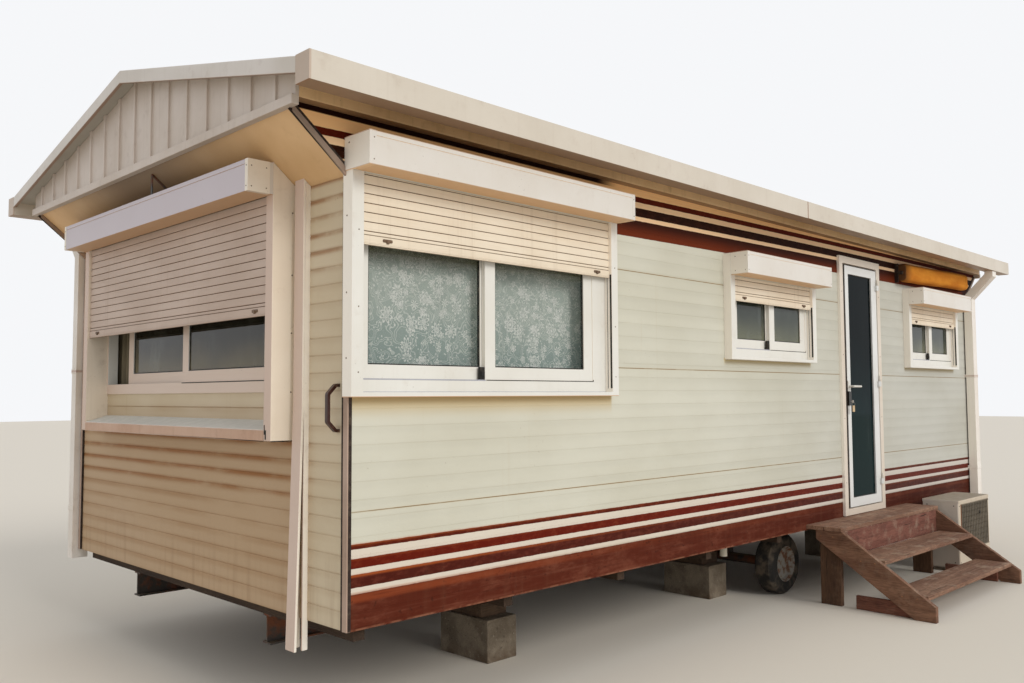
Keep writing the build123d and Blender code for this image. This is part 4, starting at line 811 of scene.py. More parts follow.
def siding(name, finish, slot, low, high, openings, matrix, groove, beaks=False):
    """Ribbed siding for one wall, made flat with its planks lying along x, cut at the openings and stood upright.
    With beaks, it runs out past both corners under the eave, up to the leaning soffits."""
    mesh = bmesh.new()
    left, right = (-BEAK[0], LENGTH + BEAK[0]) if beaks else (low[0], high[0])
    rows = math.ceil((high[1] - low[1]) / PLANK)
    size = Matrix.Translation(((left + right) / 2, low[1] + rows * PLANK / 2, 0)) @ Matrix.Diagonal(
        (right - left, rows * PLANK, 1, 1))
    bmesh.ops.create_grid(mesh, x_segments=1, y_segments=rows, size=0.5, matrix=size)
    joints = [edge for edge in mesh.edges if not edge.is_boundary]
    bmesh.ops.bevel(mesh, geom=joints, offset=groove + 0.001, segments=1, profile=0.5, affect="EDGES", material=-1)
    bands = [face for face in mesh.faces
             if max(v.co.y for v in face.verts) - min(v.co.y for v in face.verts) < PLANK / 4]
    bmesh.ops.inset_individual(mesh, faces=bands, thickness=groove * 0.8, depth=-groove)
    along, upward = (1, 0, 0), (0, 1, 0)
    cuts = [((x, 0, 0), along) for opening in openings for x in opening[:2]]
    cuts += [((0, z, 0), upward) for opening in openings for z in opening[2:]]
    cuts += [((x, 0, 0), along) for x in (low[0], high[0])] + [((0, z, 0), upward) for z in (high[1], BEAK[1])]
    for spot, across in cuts:
        bmesh.ops.bisect_plane(mesh, geom=[*mesh.verts, *mesh.edges, *mesh.faces], dist=1e-6, plane_co=spot,
                               plane_no=across)
    gone = [face for face in mesh.faces if outside(face.calc_center_median(), low, high, openings)]
    bmesh.ops.delete(mesh, geom=gone, context="FACES")
    for corner, way in ((low[0], -1), (high[0], 1)):
        past = [face for face in mesh.faces if (face.calc_center_median().x - corner) * way > 0]
        tip = list({part for face in past for part in (*face.verts, *face.edges)}) + past
        foot = 0.0 if way < 0 else LENGTH
        bmesh.ops.bisect_plane(mesh, geom=tip, dist=1e-6, plane_co=(foot, BEAK[1], 0), clear_outer=True,
                               plane_no=(way * (BEAK[2] - BEAK[1]), -BEAK[0], 0))
    bmesh.ops.transform(mesh, matrix=Matrix.Translation(HOME) @ matrix, verts=mesh.verts)
    made = piece(name, mesh, finish, shift=False)
    thick = made.modifiers.new("thickness", "SOLIDIFY")
    thick.thickness = 0.003
    thick.offset = -1.0


LONG_WALL = ((0.006, 0.0), (LENGTH - 0.006, EAVE_LINE))
END_WALL = ((0.028, 0.0), (WIDTH - 0.028, 1.944))
FRONT_SMALL, BACK_SMALL = (
    [(x, x + SMALL_WIDTH, *SMALL_Z) for x in starts] for starts in (FRONT_STARTS, BACK_STARTS))

siding("front_siding_skin", "front_siding", "wall_skin", *LONG_WALL, [FRONT_OPENING, *FRONT_SMALL, DOOR_OPENING],
       UPRIGHT, FRONT_GROOVE, True)
siding("back_siding_skin", "front_siding", "wall_skin", *LONG_WALL, BACK_SMALL, BACK, FRONT_GROOVE, True)
siding("near_end_siding_skin", "end_siding", "end_skin", *END_WALL, [(WIDTH - END_Y[1], WIDTH - END_Y[0], *END_Z)],
       NEAR_END, END_GROOVE)
siding("far_end_siding_skin", "end_siding", "end_skin", *END_WALL, [], FAR_END, END_GROOVE)
dress("wall_panels", "front_wall_near", "front_wall_far", "front_wall_over_door", "front_wall_sill", "back_wall",
      "near_end_wall", "far_end_wall")
dress("floor_cover", "floor")
dress("ceiling_board", "ceiling")

# Roof, gables and rain goods

for node, finish, ease in (
        ("roof_front", "roof_grey", 0.003), ("roof_back", "roof_grey", 0.003), ("ridge_cap", "roof_grey", 0.001),
        ("gables", "gable_white", 0.003), ("bargeboards", "barge_cream", 0.004),
        ("end_soffits", "soffit_warm_light_and_shade", 0.001), ("eave_boards", "eave_warm_light_and_shade", 0.003),
        ("gutters", "gutter_cream", 0.0012), ("downpipe", "pipe_cream", 0.002),
        ("corner_rails", "rail_pink", 0.002), ("end_trims", "trim_white_light_and_shade", 0.002)):
    soften(node, finish, ease)
dress("chassis_steel", "eave_bracket")
dress("pale_pipe", "drain_stub")


def roof_seams():
    """Narrow standing laps down both slopes, every metre or so."""
    slope = math.atan2(ROOF_RISE, WIDTH / 2 + OVERHANG)
    run = (WIDTH / 2 + OVERHANG) / math.cos(slope)
    places = (-0.300 + number * (LENGTH + 0.600) / 7 for number in range(8))
    mesh = blocks(*(((x - 0.015, 0.004, -0.002), (x + 0.015, run - 0.095, 0.006), 0.002) for x in places))
    bmesh.ops.rotate(mesh, cent=(0, 0, 0), matrix=Matrix.Rotation(slope, 3, "X"), verts=mesh.verts)
    bmesh.ops.translate(mesh, vec=(0, -OVERHANG, ROOF_FOOT), verts=mesh.verts)
    add_copy(mesh, BACK_FACE)
    piece("roof_seams", mesh, "roof_grey")


def gable_rib_shadow_lines():
    """A dark line of painted shadow beside each rib of the boarding, on both gables."""
    mesh = bmesh.new()
    slope = ROOF_RISE / (WIDTH / 2 + OVERHANG)
    for number in range(15):
        y = WIDTH / 2 + (number - 7) * 0.205
        top = 2.655 - abs(y + 0.016 - WIDTH / 2) * slope - 0.012
        if top > 2.230:
            slab(mesh, (-0.3145, y + 0.012, 2.212), (-0.3125, y + 0.019, top))
    add_copy(mesh, BACK_FACE)
    piece("gable_rib_shadows", mesh, "slot_shade_brown")


def gutter_unions():
    """The sleeve where two gutter lengths meet, front and back, rusted along its edge."""
    for name, finish, x0, x1, z0, z1, face, ease in (
            ("gutter_joint_rust", "rusty_joint", 3.540, 3.5455, 2.194, 2.309, 0.3062, 0.0006),
            ("gutter_sleeves", "gutter_cream", 3.546, 3.606, 2.1935, 2.3095, 0.3070, 0.001)):
        mesh = blocks(*(((x0, y0, z0), (x1, y1, z1), ease, 1)
                        for y0, y1 in ((-face, -0.3040), (WIDTH + 0.3040, WIDTH + face))))
        piece(name, mesh, finish)


def corner_gap_shadows():
    """Dark strips of painted shadow in the gaps beside the corner rails and along both edges of the leaning bars
    over them.
    """
    mesh = blocks(((-0.0146, 0.0262, 0.002), (-0.0040, 0.0370, 1.915)),
                  ((-0.0080, -0.0072, 0.002), (0.0078, -0.0030, 1.940)))
    lean = math.atan2(BEAK[2] - BEAK[1], BEAK[0])
    run = math.hypot(BEAK[0], BEAK[2] - BEAK[1])
    bar = blocks(*(((-run, -0.0068, low), (0.010, -0.0040, high))
                   for low, high in ((-0.0290, -0.0125), (0.0020, 0.0150))))
    join(mesh, bar, Matrix.Translation((0, 0, BEAK[1])) @ Matrix.Rotation(lean, 4, "Y"))
    add_copy(mesh, Matrix(((-1, 0, 0, LENGTH), (0, 1, 0, 0), (0, 0, 1, 0), (0, 0, 0, 1))))
    add_copy(mesh, Matrix(((1, 0, 0, 0), (0, -1, 0, WIDTH), (0, 0, 1, 0), (0, 0, 0, 1))))
    piece("corner_gap_shadows", mesh, "seal_and_shade_brown")


roof_seams()
gable_rib_shadow_lines()
gutter_unions()
corner_gap_shadows()

# Windows and shutters

for node, finish, ease in (("window_surrounds", "window_white", 0.003), ("window_sashes", "window_white", 0.0015),
                           ("shutter_boxes", "box_white", 0.0015)):
    soften(node, finish, ease)
dress("window_panes", "window_glass")


def slope_ledge(mesh):
    """Lowers the front edge of the end window's ledge, so that its top falls outwards."""
    for corner in mesh.verts:
        place = corner.co - HOME
        if abs(place.z - 0.880) < 0.002 and place.x < -0.13:
            corner.co.z -= 0.040


soften("end_window_casing", "casing_white", 0.003, reshape=slope_ledge)

# The small windows: the wall of each, and where it starts along that wall.
SMALL_WINDOWS = [(FRONT_FACE, x) for x in FRONT_STARTS] + [(BACK_FACE, x) for x in BACK_STARTS]

# Each shutter: its wall, where its curtain begins and ends along that wall, its depth, foot and top.
SHUTTERS = [
    (FRONT_FACE, *FRONT_OPENING[:2], -0.042, 1.642, 1.955),
    *((wall, x + 0.054, x + 1.121, -0.042, 1.610, 1.775) for wall, x in SMALL_WINDOWS),
    (END_FACE, WIDTH - END_Y[1], WIDTH - END_Y[0], -0.122, 1.360, 1.995),
]
PITCH = 0.041
SLOT = 0.0024
SLAT_DEPTH = 0.010
SLAT_EASE = 0.0028
FOOT_BAR = 0.044


def shutters():
    """Every curtain as separate slats with a foot bar, its two latches and a dark brown sheet behind the gaps,
    standing for their shade.
    """
    slats, latches, gap_shade_sheet = bmesh.new(), bmesh.new(), bmesh.new()
    for wall, left, right, face, foot, top in SHUTTERS:
        first = foot + FOOT_BAR
        curtain = blocks(((left, face - 0.003, foot), (right, face + 0.011, first - 0.002), 0.003),
                         ((left, face - 0.0042, foot + 0.006), (right, face - 0.002, foot + 0.012), 0.0008, 1),
                         ((left, face, first), (right, face + SLAT_DEPTH, first + 0.0145), SLAT_EASE))
        level = first + 0.017
        while level < top - 0.004:
            upper = min(level + PITCH - SLOT, top)
            slab(curtain, (left, face, level), (right, face + SLAT_DEPTH, upper), SLAT_EASE)
            level += PITCH
        join(slats, curtain, wall)
        # A dark sheet just behind the slats, painted shade for the gaps.
        join(gap_shade_sheet, blocks(((left, face + 0.006, foot + 0.01), (right, face + 0.0115, top))), wall)
        pair = bmesh.new()
        for x in (left + 0.135, right - 0.110):
            slab(pair, (x - 0.026, face - 0.0075, foot + 0.020), (x + 0.026, face - 0.002, foot + 0.033), 0.004)
            slab(pair, (x - 0.007, face - 0.0110, foot + 0.014), (x + 0.007, face - 0.003, foot + 0.030), 0.002)
        join(latches, pair, wall)
    piece("shutter_curtains", slats, "shutter_slat_cream", stands_for=("shutters",))
    piece("shutter_slots", gap_shade_sheet, "slot_shade_brown")
    piece("shutter_latches", latches, "latch_brown")


def pane_boxes():
    """The corners of every glass pane, counted from the body's corner, each with the axis it faces along."""
    mesh = bmesh.new()
    mesh.from_mesh(nodes["window_glass"].data)
    bmesh.ops.remove_doubles(mesh, verts=mesh.verts, dist=1e-5)
    left, found = set(mesh.verts), []
    while left:
        island = {left.pop()}
        queue = list(island)
        while queue:
            near = {corner for edge in queue.pop().link_edges for corner in edge.verts} & left
            left -= near
            island |= near
            queue.extend(near)
        low, high = (Vector(map(pick, *(v.co for v in island))) - HOME for pick in (min, max))
        found.append((low, high, "x" if high.x - low.x < high.y - low.y else "y"))
    mesh.free()
    return found


def gaskets():
    """A black glazing bead round every pane, inside and out."""
    mesh = bmesh.new()
    bead, proud = 0.0055, 0.0025
    for low, high, facing in pane_boxes():
        a, b = (low.y, high.y) if facing == "x" else (low.x, high.x)
        near, far = (low.x, high.x) if facing == "x" else (low.y, high.y)
        for u0, u1, z0, z1 in ((a, a + bead, low.z, high.z), (b - bead, b, low.z, high.z),
                               (a, b, low.z, low.z + bead), (a, b, high.z - bead, high.z)):
            ends = ((near - proud, u0, z0), (far + proud, u1, z1)) if facing == "x" else (
                (u0, near - proud, z0), (u1, far + proud, z1))
            slab(mesh, *ends)
    piece("glazing_beads", mesh, "gasket_and_shade_black")


def sash_fittings():
    """Latches at the meeting stiles; dark strips of painted shade in the gap under each outer sash and in the
    guides' slots in the right reveals; and grey lines of painted shade along the sills."""
    dark, shadow_strips, pale = bmesh.new(), bmesh.new(), bmesh.new()
    rows = [(FRONT_FACE, 0.752, 1.067, 0.037, 0.790, 1.594, 1.642, 1.705)]
    rows += [(wall, x + 0.545, 1.302, x + 0.062, x + 0.581, x + 1.092, 1.610, x + 1.121)
             for wall, x in SMALL_WINDOWS]
    for wall, latch, low, inner, start, end, top, reveal in rows:
        join(dark, blocks(
            ((latch, -0.0045, low - 0.004), (latch + 0.036, 0.010, low + 0.062), 0.004),
            ((latch + 0.006, -0.0100, low + 0.014), (latch + 0.026, 0.0, low + 0.042), 0.003)), wall)
        join(shadow_strips, blocks(
            ((start, -0.0108, low - 0.0045), (end, -0.0090, low - 0.0005)),
            ((end, -0.0108, low - 0.0045), (end + 0.006, -0.0090, low + 0.006), 0.0008, 1),
            ((reveal - 0.0015, -0.0570, low - 0.040), (reveal + 0.0005, -0.0455, top + 0.02)),
            ((reveal - 0.0015, -0.0290, low - 0.040), (reveal + 0.0005, -0.0265, top + 0.02))), wall)
        join(pale, blocks(
            ((inner, -0.0106, low - 0.0060), (start - 0.004, -0.0090, low)),
            ((inner - 0.008, -0.0106, low - 0.0600), (reveal, -0.0090, low - 0.0575))), wall)
    join(shadow_strips, blocks(((WIDTH - 1.582, -0.0108, 1.0650), (WIDTH - 0.481, -0.0090, 1.0695))), END_FACE)
    piece("sash_latches", dark, "black_plastic_and_shade")
    piece("sash_gap_shadows", shadow_strips, "gasket_and_shade_black")
    piece("sill_shade_lines", pale, "shade_line_grey")


# The heights of the screws down the front window's bars.
BAR_SCREWS = (1.151, 1.430, 1.760)


def box_trims():
    """A lapped cap on both ends of every shutter box, with its screws, and the screws down the window bars."""
    caps, end_caps, screws = bmesh.new(), bmesh.new(), bmesh.new()
    rows = [(FRONT_FACE, -0.025, 1.759, -0.187, 1.955, 2.100)]
    rows += [(wall, x, x + SMALL_WIDTH, -0.187, 1.775, 1.920) for wall, x in SMALL_WINDOWS]
    rows += [(END_FACE, WIDTH - 2.698, WIDTH - 0.413, -0.263, 1.9056, 2.0506)]
    lap = 0.0012
    for wall, left, right, face, low, high in rows:
        part, dots = bmesh.new(), bmesh.new()
        heights = (low + 0.022, high - 0.030)
        for x0, x1 in ((left - lap, left + 0.024), (right - 0.024, right + lap)):
            slab(part, (x0, face - lap, low - 0.0008), (x1, face + 0.110, high + 0.0008), 0.0010, 1)
            studs(dots, (((x0 + x1) / 2, face - lap, z) for z in heights), 0.0032, 0.0018, (0, -1, 0))
        for z in heights:
            for y in (face + 0.018, face + 0.092):
                studs(dots, [(left - lap, y, z)], 0.0032, 0.0018, (-1, 0, 0))
                studs(dots, [(right + lap, y, z)], 0.0032, 0.0018, (1, 0, 0))
        join(end_caps if wall is END_FACE else caps, part, wall)
        join(screws, dots, wall)
    for z in BAR_SCREWS:
        studs(screws, ((x, -0.060, z - 0.06) for x in (0.002, 1.732)), 0.0035, 0.0020, (0, -1, 0))
    for z in (1.833, 1.545, 1.279, 1.010):
        studs(screws, [(-0.034, 0.413, z)], 0.0040, 0.0020, (0, -1, 0))
        studs(screws, [(-0.034, 2.698, z)], 0.0040, 0.0020, (0, 1, 0))
    piece("box_end_caps", caps, "box_white")
    piece("end_box_caps", end_caps, "end_box_white_lit")
    piece("trim_screws", screws, "screw_grey")


def surround_return():
    """The angle that carries the front window's surround and its box on to the corner, with its screws."""
    angle = blocks(((-0.0330, -0.0605, 0.9850), (-0.0155, 0.0090, 1.9550), 0.0015))
    piece("surround_return", angle, "window_white")
    cap = blocks(((-0.0370, -0.1884, 1.9540), (-0.0235, -0.0045, 2.1012), 0.0015))
    piece("box_return", cap, "box_white")
    dots = bmesh.new()
    studs(dots, ((-0.0330, -0.021, z) for z in BAR_SCREWS), 0.0040, 0.0020, (-1, 0, 0))
    studs(dots, [(-0.0370, -0.040, 2.072)], 0.0045, 0.0020, (-1, 0, 0))
    piece("return_screws", dots, "screw_grey")


def end_ledge():
    """The tan face of the end window's ledge, a black strip of painted shadow under the near board's foot, and torn
    sealant at the ledge's near end.
    """
    strip = blocks(((-0.1380, 0.4760, 0.7905), (-0.1362, 2.6360, 0.8360), 0.0006, 1))
    piece("ledge_strip", strip, "ledge_tan")
    # The first strip is painted shadow under the near board's foot.
    sealant_and_shadow = blocks(((-0.132, 0.4145, 0.786), (-0.010, 0.4225, 0.7925), 0.0015, 1),
                 ((-0.1374, 0.452, 0.796), (-0.1352, 0.462, 0.838), 0.0008, 1),
                 ((-0.1374, 0.463, 0.818), (-0.1352, 0.470, 0.862), 0.0008, 1))
    piece("ledge_sealant_and_shadow", sealant_and_shadow, "black_plastic_and_shade")


def folded_cloth(name, finish, start, end, foot, head, swing, thickness, across="x"):
    """A hanging cloth with soft upright folds; returns the piece and the width it was cut to."""
    waves = 9
    mesh = bmesh.new()
    bmesh.ops.create_grid(mesh, x_segments=waves * 10, y_segments=14, size=0.5)
    for corner in mesh.verts:
        share, height = corner.co.x + 0.5, corner.co.y + 0.5
        wave = math.sin(share * waves * math.tau + math.sin(share * 9.0) * 1.3) * (1.15 - height * 0.35)
        wave += 0.35 * math.sin(share * waves * 2.3 * math.tau + 1.0 + height)
        u, v = start[0] + (end[0] - start[0]) * share, start[1] + (end[1] - start[1]) * share
        side = wave * swing
        corner.co = (u + side, v, 0) if across == "y" else (u, v + side, 0)
        corner.co.z = foot + (head - foot) * height
    widths = [sum(edge.calc_length() for edge in mesh.edges
                  if all(abs(corner.co.z - level) < 1e-6 for corner in edge.verts)) for level in (foot, head)]
    for face in mesh.faces:
        face.smooth = True
    made = piece(name, mesh, finish)
    cloth = made.modifiers.new("cloth", "SOLIDIFY")
    cloth.thickness = thickness
    return made, sum(widths) / 2


def curtains():
    """The lace behind the front window and the heavy curtain at the end window's open side, each on a slim rail."""
    rails = blocks(((0.040, 0.0795, 1.9400), (1.690, 0.0905, 1.9520), 0.003),
                   ((0.0830, 1.600, 1.8650), (0.0950, 2.900, 1.8770), 0.003),
                   *(((x, 0.050, 1.940), (x + 0.012, 0.082, 1.951), 0.002) for x in (0.060, 1.660)),
                   *(((0.050, y, 1.865), (0.085, y + 0.012, 1.876), 0.002) for y in (1.640, 2.870)))
    piece("curtain_rails", rails, "window_white")
    net, width = folded_cloth("lace_curtain", "lace_net", (0.050, 0.085), (1.680, 0.085), 1.010, 1.941, 0.0035,
                              0.0006)
    heavy, width = folded_cloth("heavy_curtain", "heavy_curtain", (0.089, 2.120), (0.089, 2.860), 0.960, 1.866,
                                0.016, 0.0016, "y")


shutters()
gaskets()
sash_fittings()
box_trims()
surround_return()
end_ledge()
curtains()

# Door

soften("door_frame", "door_frame_cream", 0.002)
soften("door_leaf", "door_white", 0.002, "door")
soften("door_handle", "handle_white", 0.0015, "door")
dress("door_pane", "door_glass")
dress("brown_handle_paint", "grab_handle")


def door_details():
    """Glazing beads and a key with its tag on the leaf; a black seal in the gap and cover screws on the frame."""
    beads = blocks(*(((x0, -0.0085, z0), (x1, 0.0135, z1)) for x0, x1, z0, z1 in (
        (4.746, 4.752, 0.174, 1.950), (5.166, 5.172, 0.174, 1.950), (4.746, 5.172, 0.174, 0.180),
        (4.746, 5.172, 1.944, 1.950))))
    piece("door_glazing_beads", beads, "gasket_and_shade_black", "door")
    key = blocks(((4.6935, -0.0490, 0.930), (4.7065, -0.0345, 0.9345), 0.001, 1),
                 ((4.6975, -0.0620, 0.9200), (4.7025, -0.0470, 0.9420), 0.0015, 1))
    bmesh.ops.create_circle(key, segments=6, radius=0.0012, matrix=Matrix.Translation((4.700, -0.0600, 0.924)))
    hoop = [part for part in key.verts if part.is_wire]
    loop = list({edge for corner in hoop for edge in corner.link_edges})
    bmesh.ops.spin(key, geom=hoop + loop, cent=(4.700, -0.0600, 0.912), axis=(1, 0, 0), angle=math.tau, steps=14,
                   use_merge=True, use_duplicate=False)
    piece("door_key", key, "satin_steel", "door")
    tag = blocks(((4.682, -0.0625, 0.850), (4.718, -0.0575, 0.900), 0.002))
    piece("key_tag", tag, "tag_buff", "door")
    seal = blocks(((4.6462, -0.0100, 0.100), (4.6500, 0.0100, 2.024)),
                  ((4.6500, 0.0000, 2.0250), (5.2680, 0.0100, 2.0285)))
    piece("door_seal", seal, "black_plastic_and_shade")
    lip = blocks(((4.6545, -0.0222, 0.104), (4.6830, -0.0198, 2.020), 0.0006, 1),
                 ((4.6545, -0.0215, 2.0150), (5.2630, -0.0198, 2.0200), 0.0006, 1))
    piece("leaf_edge_seal", lip, "seal_and_shade_brown", "door")
    dots = bmesh.new()
    studs(dots, ((x, -0.0250, z) for z in (0.30, 0.80, 1.30, 1.80) for x in (4.618, 5.300)), 0.0040, 0.0020,
          (0, -1, 0))
    piece("door_frame_screws", dots, "screw_grey")


door_details()

# Chassis and ground pieces

dress("joist_wood_in_shade", "joists")
dress("chassis_steel", "chassis_beams", "axle")
dress("tyre_rubber", "wheels")
for node, finish, ease in (
        ("timber_packers", "packer_wood_in_shade", 0.004), ("step_treads", "step_wood", 0.005),
        ("step_stringers", "stringer_wood", 0.005), ("step_posts", "post_wood", 0.004),
        ("step_apron", "apron_wood", 0.003), ("step_side_boards", "side_board_wood", 0.003),
        ("air_conditioner", "ac_beige", 0.001), ("ac_grille", "ac_grille_green", 0.001)):
    soften(node, finish, ease)


def pier_blocks():
    """Hollow-looking concrete blocks: each face to the front and back has a shallow sunk panel."""
    mesh = bmesh.new()
    for x in (1.445, LENGTH / 2, LENGTH - 1.445):
        for y in (0.765, WIDTH - 0.765):
            block = slab(mesh, (x - 0.115, y - 0.205, GROUND), (x + 0.115, y + 0.205, GROUND + 0.240))
            ends = {face for corner in block for face in corner.link_faces if abs(face.normal.y) > 0.9}
            mesh.normal_update()
            for face in ends:
                bmesh.ops.inset_individual(mesh, faces=[face], thickness=0.032, depth=-0.012)
    rims = [edge for edge in mesh.edges if edge.is_manifold and edge.calc_face_angle(0.0) > 0.6]
    bmesh.ops.bevel(mesh, geom=rims, offset=0.005, segments=2, profile=0.5, affect="EDGES", material=-1)
    piece("pier_blocks", mesh, "grey_concrete", stands_for=("concrete_piers",))


def extrude_ring(mesh, edges):
    """Extrudes a ring of edges in its place; returns the new ring's edges and corners."""
    made = bmesh.ops.extrude_edge_only(mesh, edges=edges)["geom"]
    corners = [part for part in made if isinstance(part, bmesh.types.BMVert)]
    return [part for part in made if isinstance(part, bmesh.types.BMEdge)
            and all(corner in corners for corner in part.verts)], corners


def awning():
    """The rolled awning: one wrap of cloth round the flattened roll, turned in at both ends onto the roller, and
    the slim arms that carry it on the wall."""
    low, high = (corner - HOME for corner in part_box("awning_roll"))
    rise = 0.040
    length = high.x - low.x
    depth, height = high.y - low.y - 0.002, high.z - low.z - rise - 0.002
    middle = Vector((low.x, (low.y + high.y) / 2, low.z + 0.001 + height / 2))
    mesh = bmesh.new()
    bmesh.ops.create_grid(mesh, x_segments=1, y_segments=1, size=0.5, matrix=Matrix.Diagonal((depth, height, 1, 1)))
    bmesh.ops.bevel(mesh, geom=list(mesh.verts), offset=0.045, segments=7, profile=0.5, affect="VERTICES",
                    material=-1)
    bmesh.ops.delete(mesh, geom=list(mesh.faces), context="FACES_ONLY")
    bmesh.ops.subdivide_edges(mesh, edges=[edge for edge in mesh.edges if edge.calc_length() > 0.03], cuts=3)
    turn = Matrix(((0, 0, 1, 0), (1, 0, 0, 0), (0, 1, 0, 0), (0, 0, 0, 1)))
    bmesh.ops.transform(mesh, matrix=Matrix.Translation(middle) @ turn, verts=mesh.verts)
    steps = 30
    first = ring = list(mesh.edges)
    for _ in range(steps):
        ring, moved = extrude_ring(mesh, ring)
        bmesh.ops.translate(mesh, vec=(length / steps, 0, rise / steps), verts=moved)
    for corner in mesh.verts:
        share = (corner.co.x - low.x) / length
        away = corner.co - Vector((corner.co.x, middle.y, middle.z + rise * share))
        ripple = math.sin(share * 27.0 + away.z * 36.0) * 0.4 + math.sin(share * 9.0 - away.z * 24.0)
        pinch = max(0.0, 1.0 - min(share, 1.0 - share) / 0.02) ** 2 * 0.006
        corner.co -= away.normalized() * (0.0030 + 0.0018 * ripple + pinch)
    for edges in (first, ring):
        for size in (0.70, 0.45, 0.25):
            edges, moved = extrude_ring(mesh, edges)
            centre = sum((corner.co for corner in moved), Vector()) / len(moved)
            bmesh.ops.scale(mesh, vec=(1.0, size, size), space=Matrix.Translation(-centre), verts=moved)
    area = sum(face.calc_area() for face in mesh.faces)
    for face in mesh.faces:
        face.smooth = True
    cloth = piece("awning_cloth", mesh, "awning_canvas", stands_for=("awning_roll",))
    thick = cloth.modifiers.new("cloth", "SOLIDIFY")
    thick.thickness = 0.0012
    thick.offset = -1.0
    area / length
    roller = bmesh.new()
    start, finish = middle + Vector((-0.010, 0, 0)), middle + Vector((length + 0.010, 0, rise))
    run = finish - start
    place = Matrix.Translation((start + finish) / 2) @ run.to_track_quat("Z", "Y").to_matrix().to_4x4()
    bmesh.ops.create_cone(roller, cap_ends=True, segments=20, radius1=0.016, radius2=0.016, depth=run.length,
                          matrix=place)
    piece("awning_roller", roller, "black_plastic_and_shade")
    arms = bmesh.new()
    for x, lift in ((low.x - 0.012, 0.0), (high.x + 0.003, rise)):
        foot, level = low.z + lift, middle.z + lift
        slab(arms, (x, -0.036, foot), (x + 0.009, -0.0005, foot + height), 0.002)
        slab(arms, (x, middle.y - 0.012, level - 0.012), (x + 0.009, -0.030, level + 0.012), 0.002)
    piece("awning_arms", arms, "seal_and_shade_brown", stands_for=("awning_brackets",))


def step_nails():
    """Nail heads over the posts and stringers, and through the apron."""
    mesh = bmesh.new()
    tops = [(x, y, 0.040) for x in (4.021, 5.774, 4.32, 5.45) for y in (-0.235, -0.175, -0.098, -0.036)]
    treads = ((-0.34, -0.160), (-0.50, -0.160), (-0.63, -0.360), (-0.79, -0.360))
    tops += [(x, y, z) for x in (4.060, 5.735) for y, z in treads]
    studs(mesh, tops, 0.0045, 0.0016, (0, 0, 1), 8)
    sides = ((-0.40, -0.175), (-0.50, -0.180), (-0.68, -0.375), (-0.78, -0.378), (-0.11, -0.03), (-0.20, -0.03))
    studs(mesh, ((3.9995, y, z) for y, z in sides), 0.0050, 0.0018, (-1, 0, 0), 8)
    piece("step_nails", mesh, "rusty_joint")


def unit_fittings():
    """The outdoor unit's lid edge, its screws and the round cap low on its front, and its grille's guard."""
    lid = blocks(((5.9042, -0.4008, 0.056), (6.6508, -0.0992, 0.0800), 0.004))
    piece("unit_lid", lid, "ac_beige")
    cap = bmesh.new()
    studs(cap, [(6.400, -0.3995, -0.054)], 0.016, 0.010, (0, -1, 0), 16)
    levels = (-0.44, 0.035)
    studs(cap, ((x, -0.400, z) for x in (5.925, 6.632) for z in levels), 0.005, 0.002, (0, -1, 0))
    studs(cap, ((5.905, y, z) for y in (-0.36, -0.14) for z in levels), 0.005, 0.002, (-1, 0, 0))
    piece("unit_fittings", cap, "black_plastic_and_shade")
    bars = (5.970 + number * 0.040 for number in range(17))
    guard = blocks(*(((x - 0.003, -0.4045, -0.342), (x + 0.003, -0.3985, 0.042), 0.001, 1) for x in bars),
                   *(((5.957, -0.4055, z - 0.004), (6.623, -0.3985, z + 0.004), 0.001, 1) for z in (-0.343, 0.043)))
    piece("grille_guard", guard, "guard_buff")
    edge = blocks(((5.9500, -0.4040, -0.347), (5.9560, -0.3990, 0.047), 0.001, 1))
    piece("grille_edge", edge, "rusty_joint")


pier_blocks()
awning()
step_nails()
unit_fittings()


# Floor, light and camera

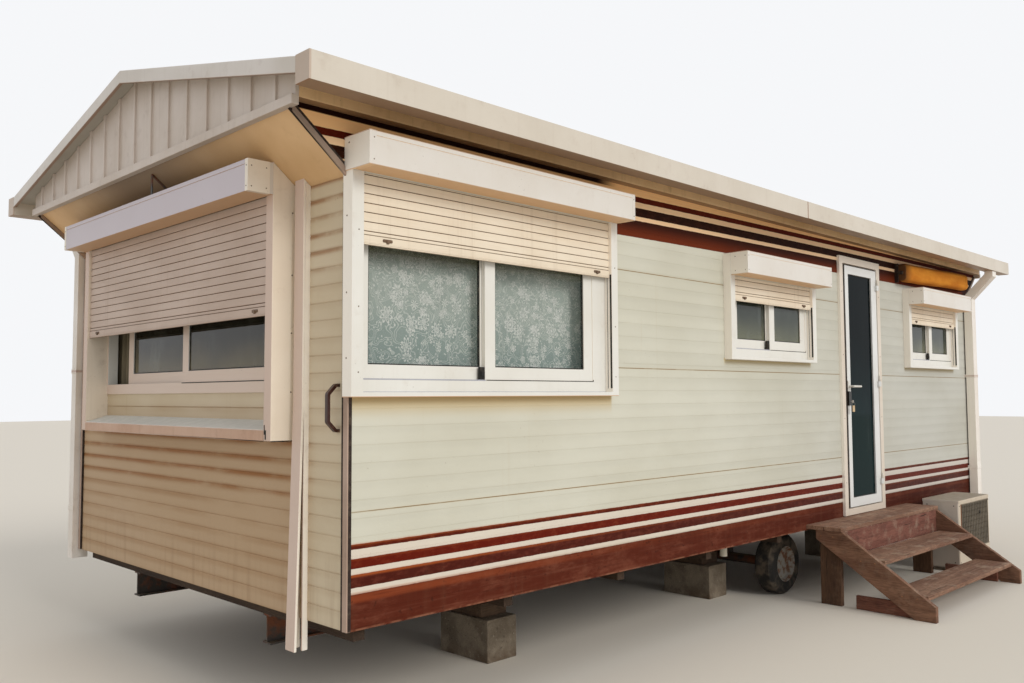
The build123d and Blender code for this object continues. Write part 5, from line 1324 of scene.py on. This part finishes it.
def studio():
    """A pale floor, a soft key from the front right and an even pale sky."""
    ground = bmesh.new()
    bmesh.ops.create_grid(ground, x_segments=1, y_segments=1, size=60.0)
    data = bpy.data.meshes.new("studio_floor")
    ground.to_mesh(data)
    ground.free()
    floor = bpy.data.objects.new("studio_floor", data)
    bpy.context.scene.collection.objects.link(floor)
    pale = Finish("studio_floor_paint", Roughness=0.9, Specular_IOR_Level=0.1, Base_Color=paint((226, 219, 207)))
    data.materials.append(pale.material)

    key = bpy.data.objects.new("key_light", bpy.data.lights.new("key_light", "SUN"))
    key.data.energy = 1.38
    key.data.angle = math.radians(26)
    key.data.color = (1.0, 0.98, 0.94)
    toward = Vector((-0.03, 0.87, -0.48))
    key.rotation_mode = "QUATERNION"
    key.rotation_quaternion = toward.to_track_quat("-Z", "Y")
    bpy.context.scene.collection.objects.link(key)

    bpy.context.scene.world = bpy.data.worlds.new("studio_sky")
    sky = Nodes(bpy.context.scene.world)
    camera, glossy, through = (sky.node("ShaderNodeLightPath", {}, [], f"Is {ray} Ray")
                               for ray in ("Camera", "Glossy", "Transmission"))
    seen = sky.maths("MAXIMUM", sky.maths("MAXIMUM", camera, glossy), through)
    level = sky.node("ShaderNodeMapRange", {}, {"Value": seen, "To Min": 0.70, "To Max": 0.95})
    back = sky.tree.nodes["Background"]
    sky.tree.links.new(level.socket, back.inputs["Strength"])
    back.inputs["Color"].default_value = (0.97, 0.98, 1.0, 1.0)


def photo_camera():
    """The camera where the photograph was taken from, worked out from the walls' vanishing points."""
    camera = bpy.data.objects.new("photo_camera", bpy.data.cameras.new("photo_camera"))
    camera.data.lens = 31.845
    camera.data.sensor_width = 36.0
    yaw, pitch, roll = (math.radians(turn) for turn in (45.163, 3.441, -0.2705))
    ahead = Vector((math.cos(yaw) * math.cos(pitch), math.sin(yaw) * math.cos(pitch), math.sin(pitch)))
    right = Vector((math.sin(yaw), -math.cos(yaw), 0.0))
    above = right.cross(ahead)
    turned = Matrix.Rotation(roll, 3, -ahead)
    axes = Matrix((right, above, -ahead)).transposed()
    camera.matrix_world = Matrix.Translation((-5.9285, -4.4566, 1.5075)) @ (turned @ axes).to_4x4()
    bpy.context.scene.collection.objects.link(camera)
    bpy.context.scene.camera = camera


studio()
photo_camera()
bpy.context.scene.view_settings.view_transform = "Standard"
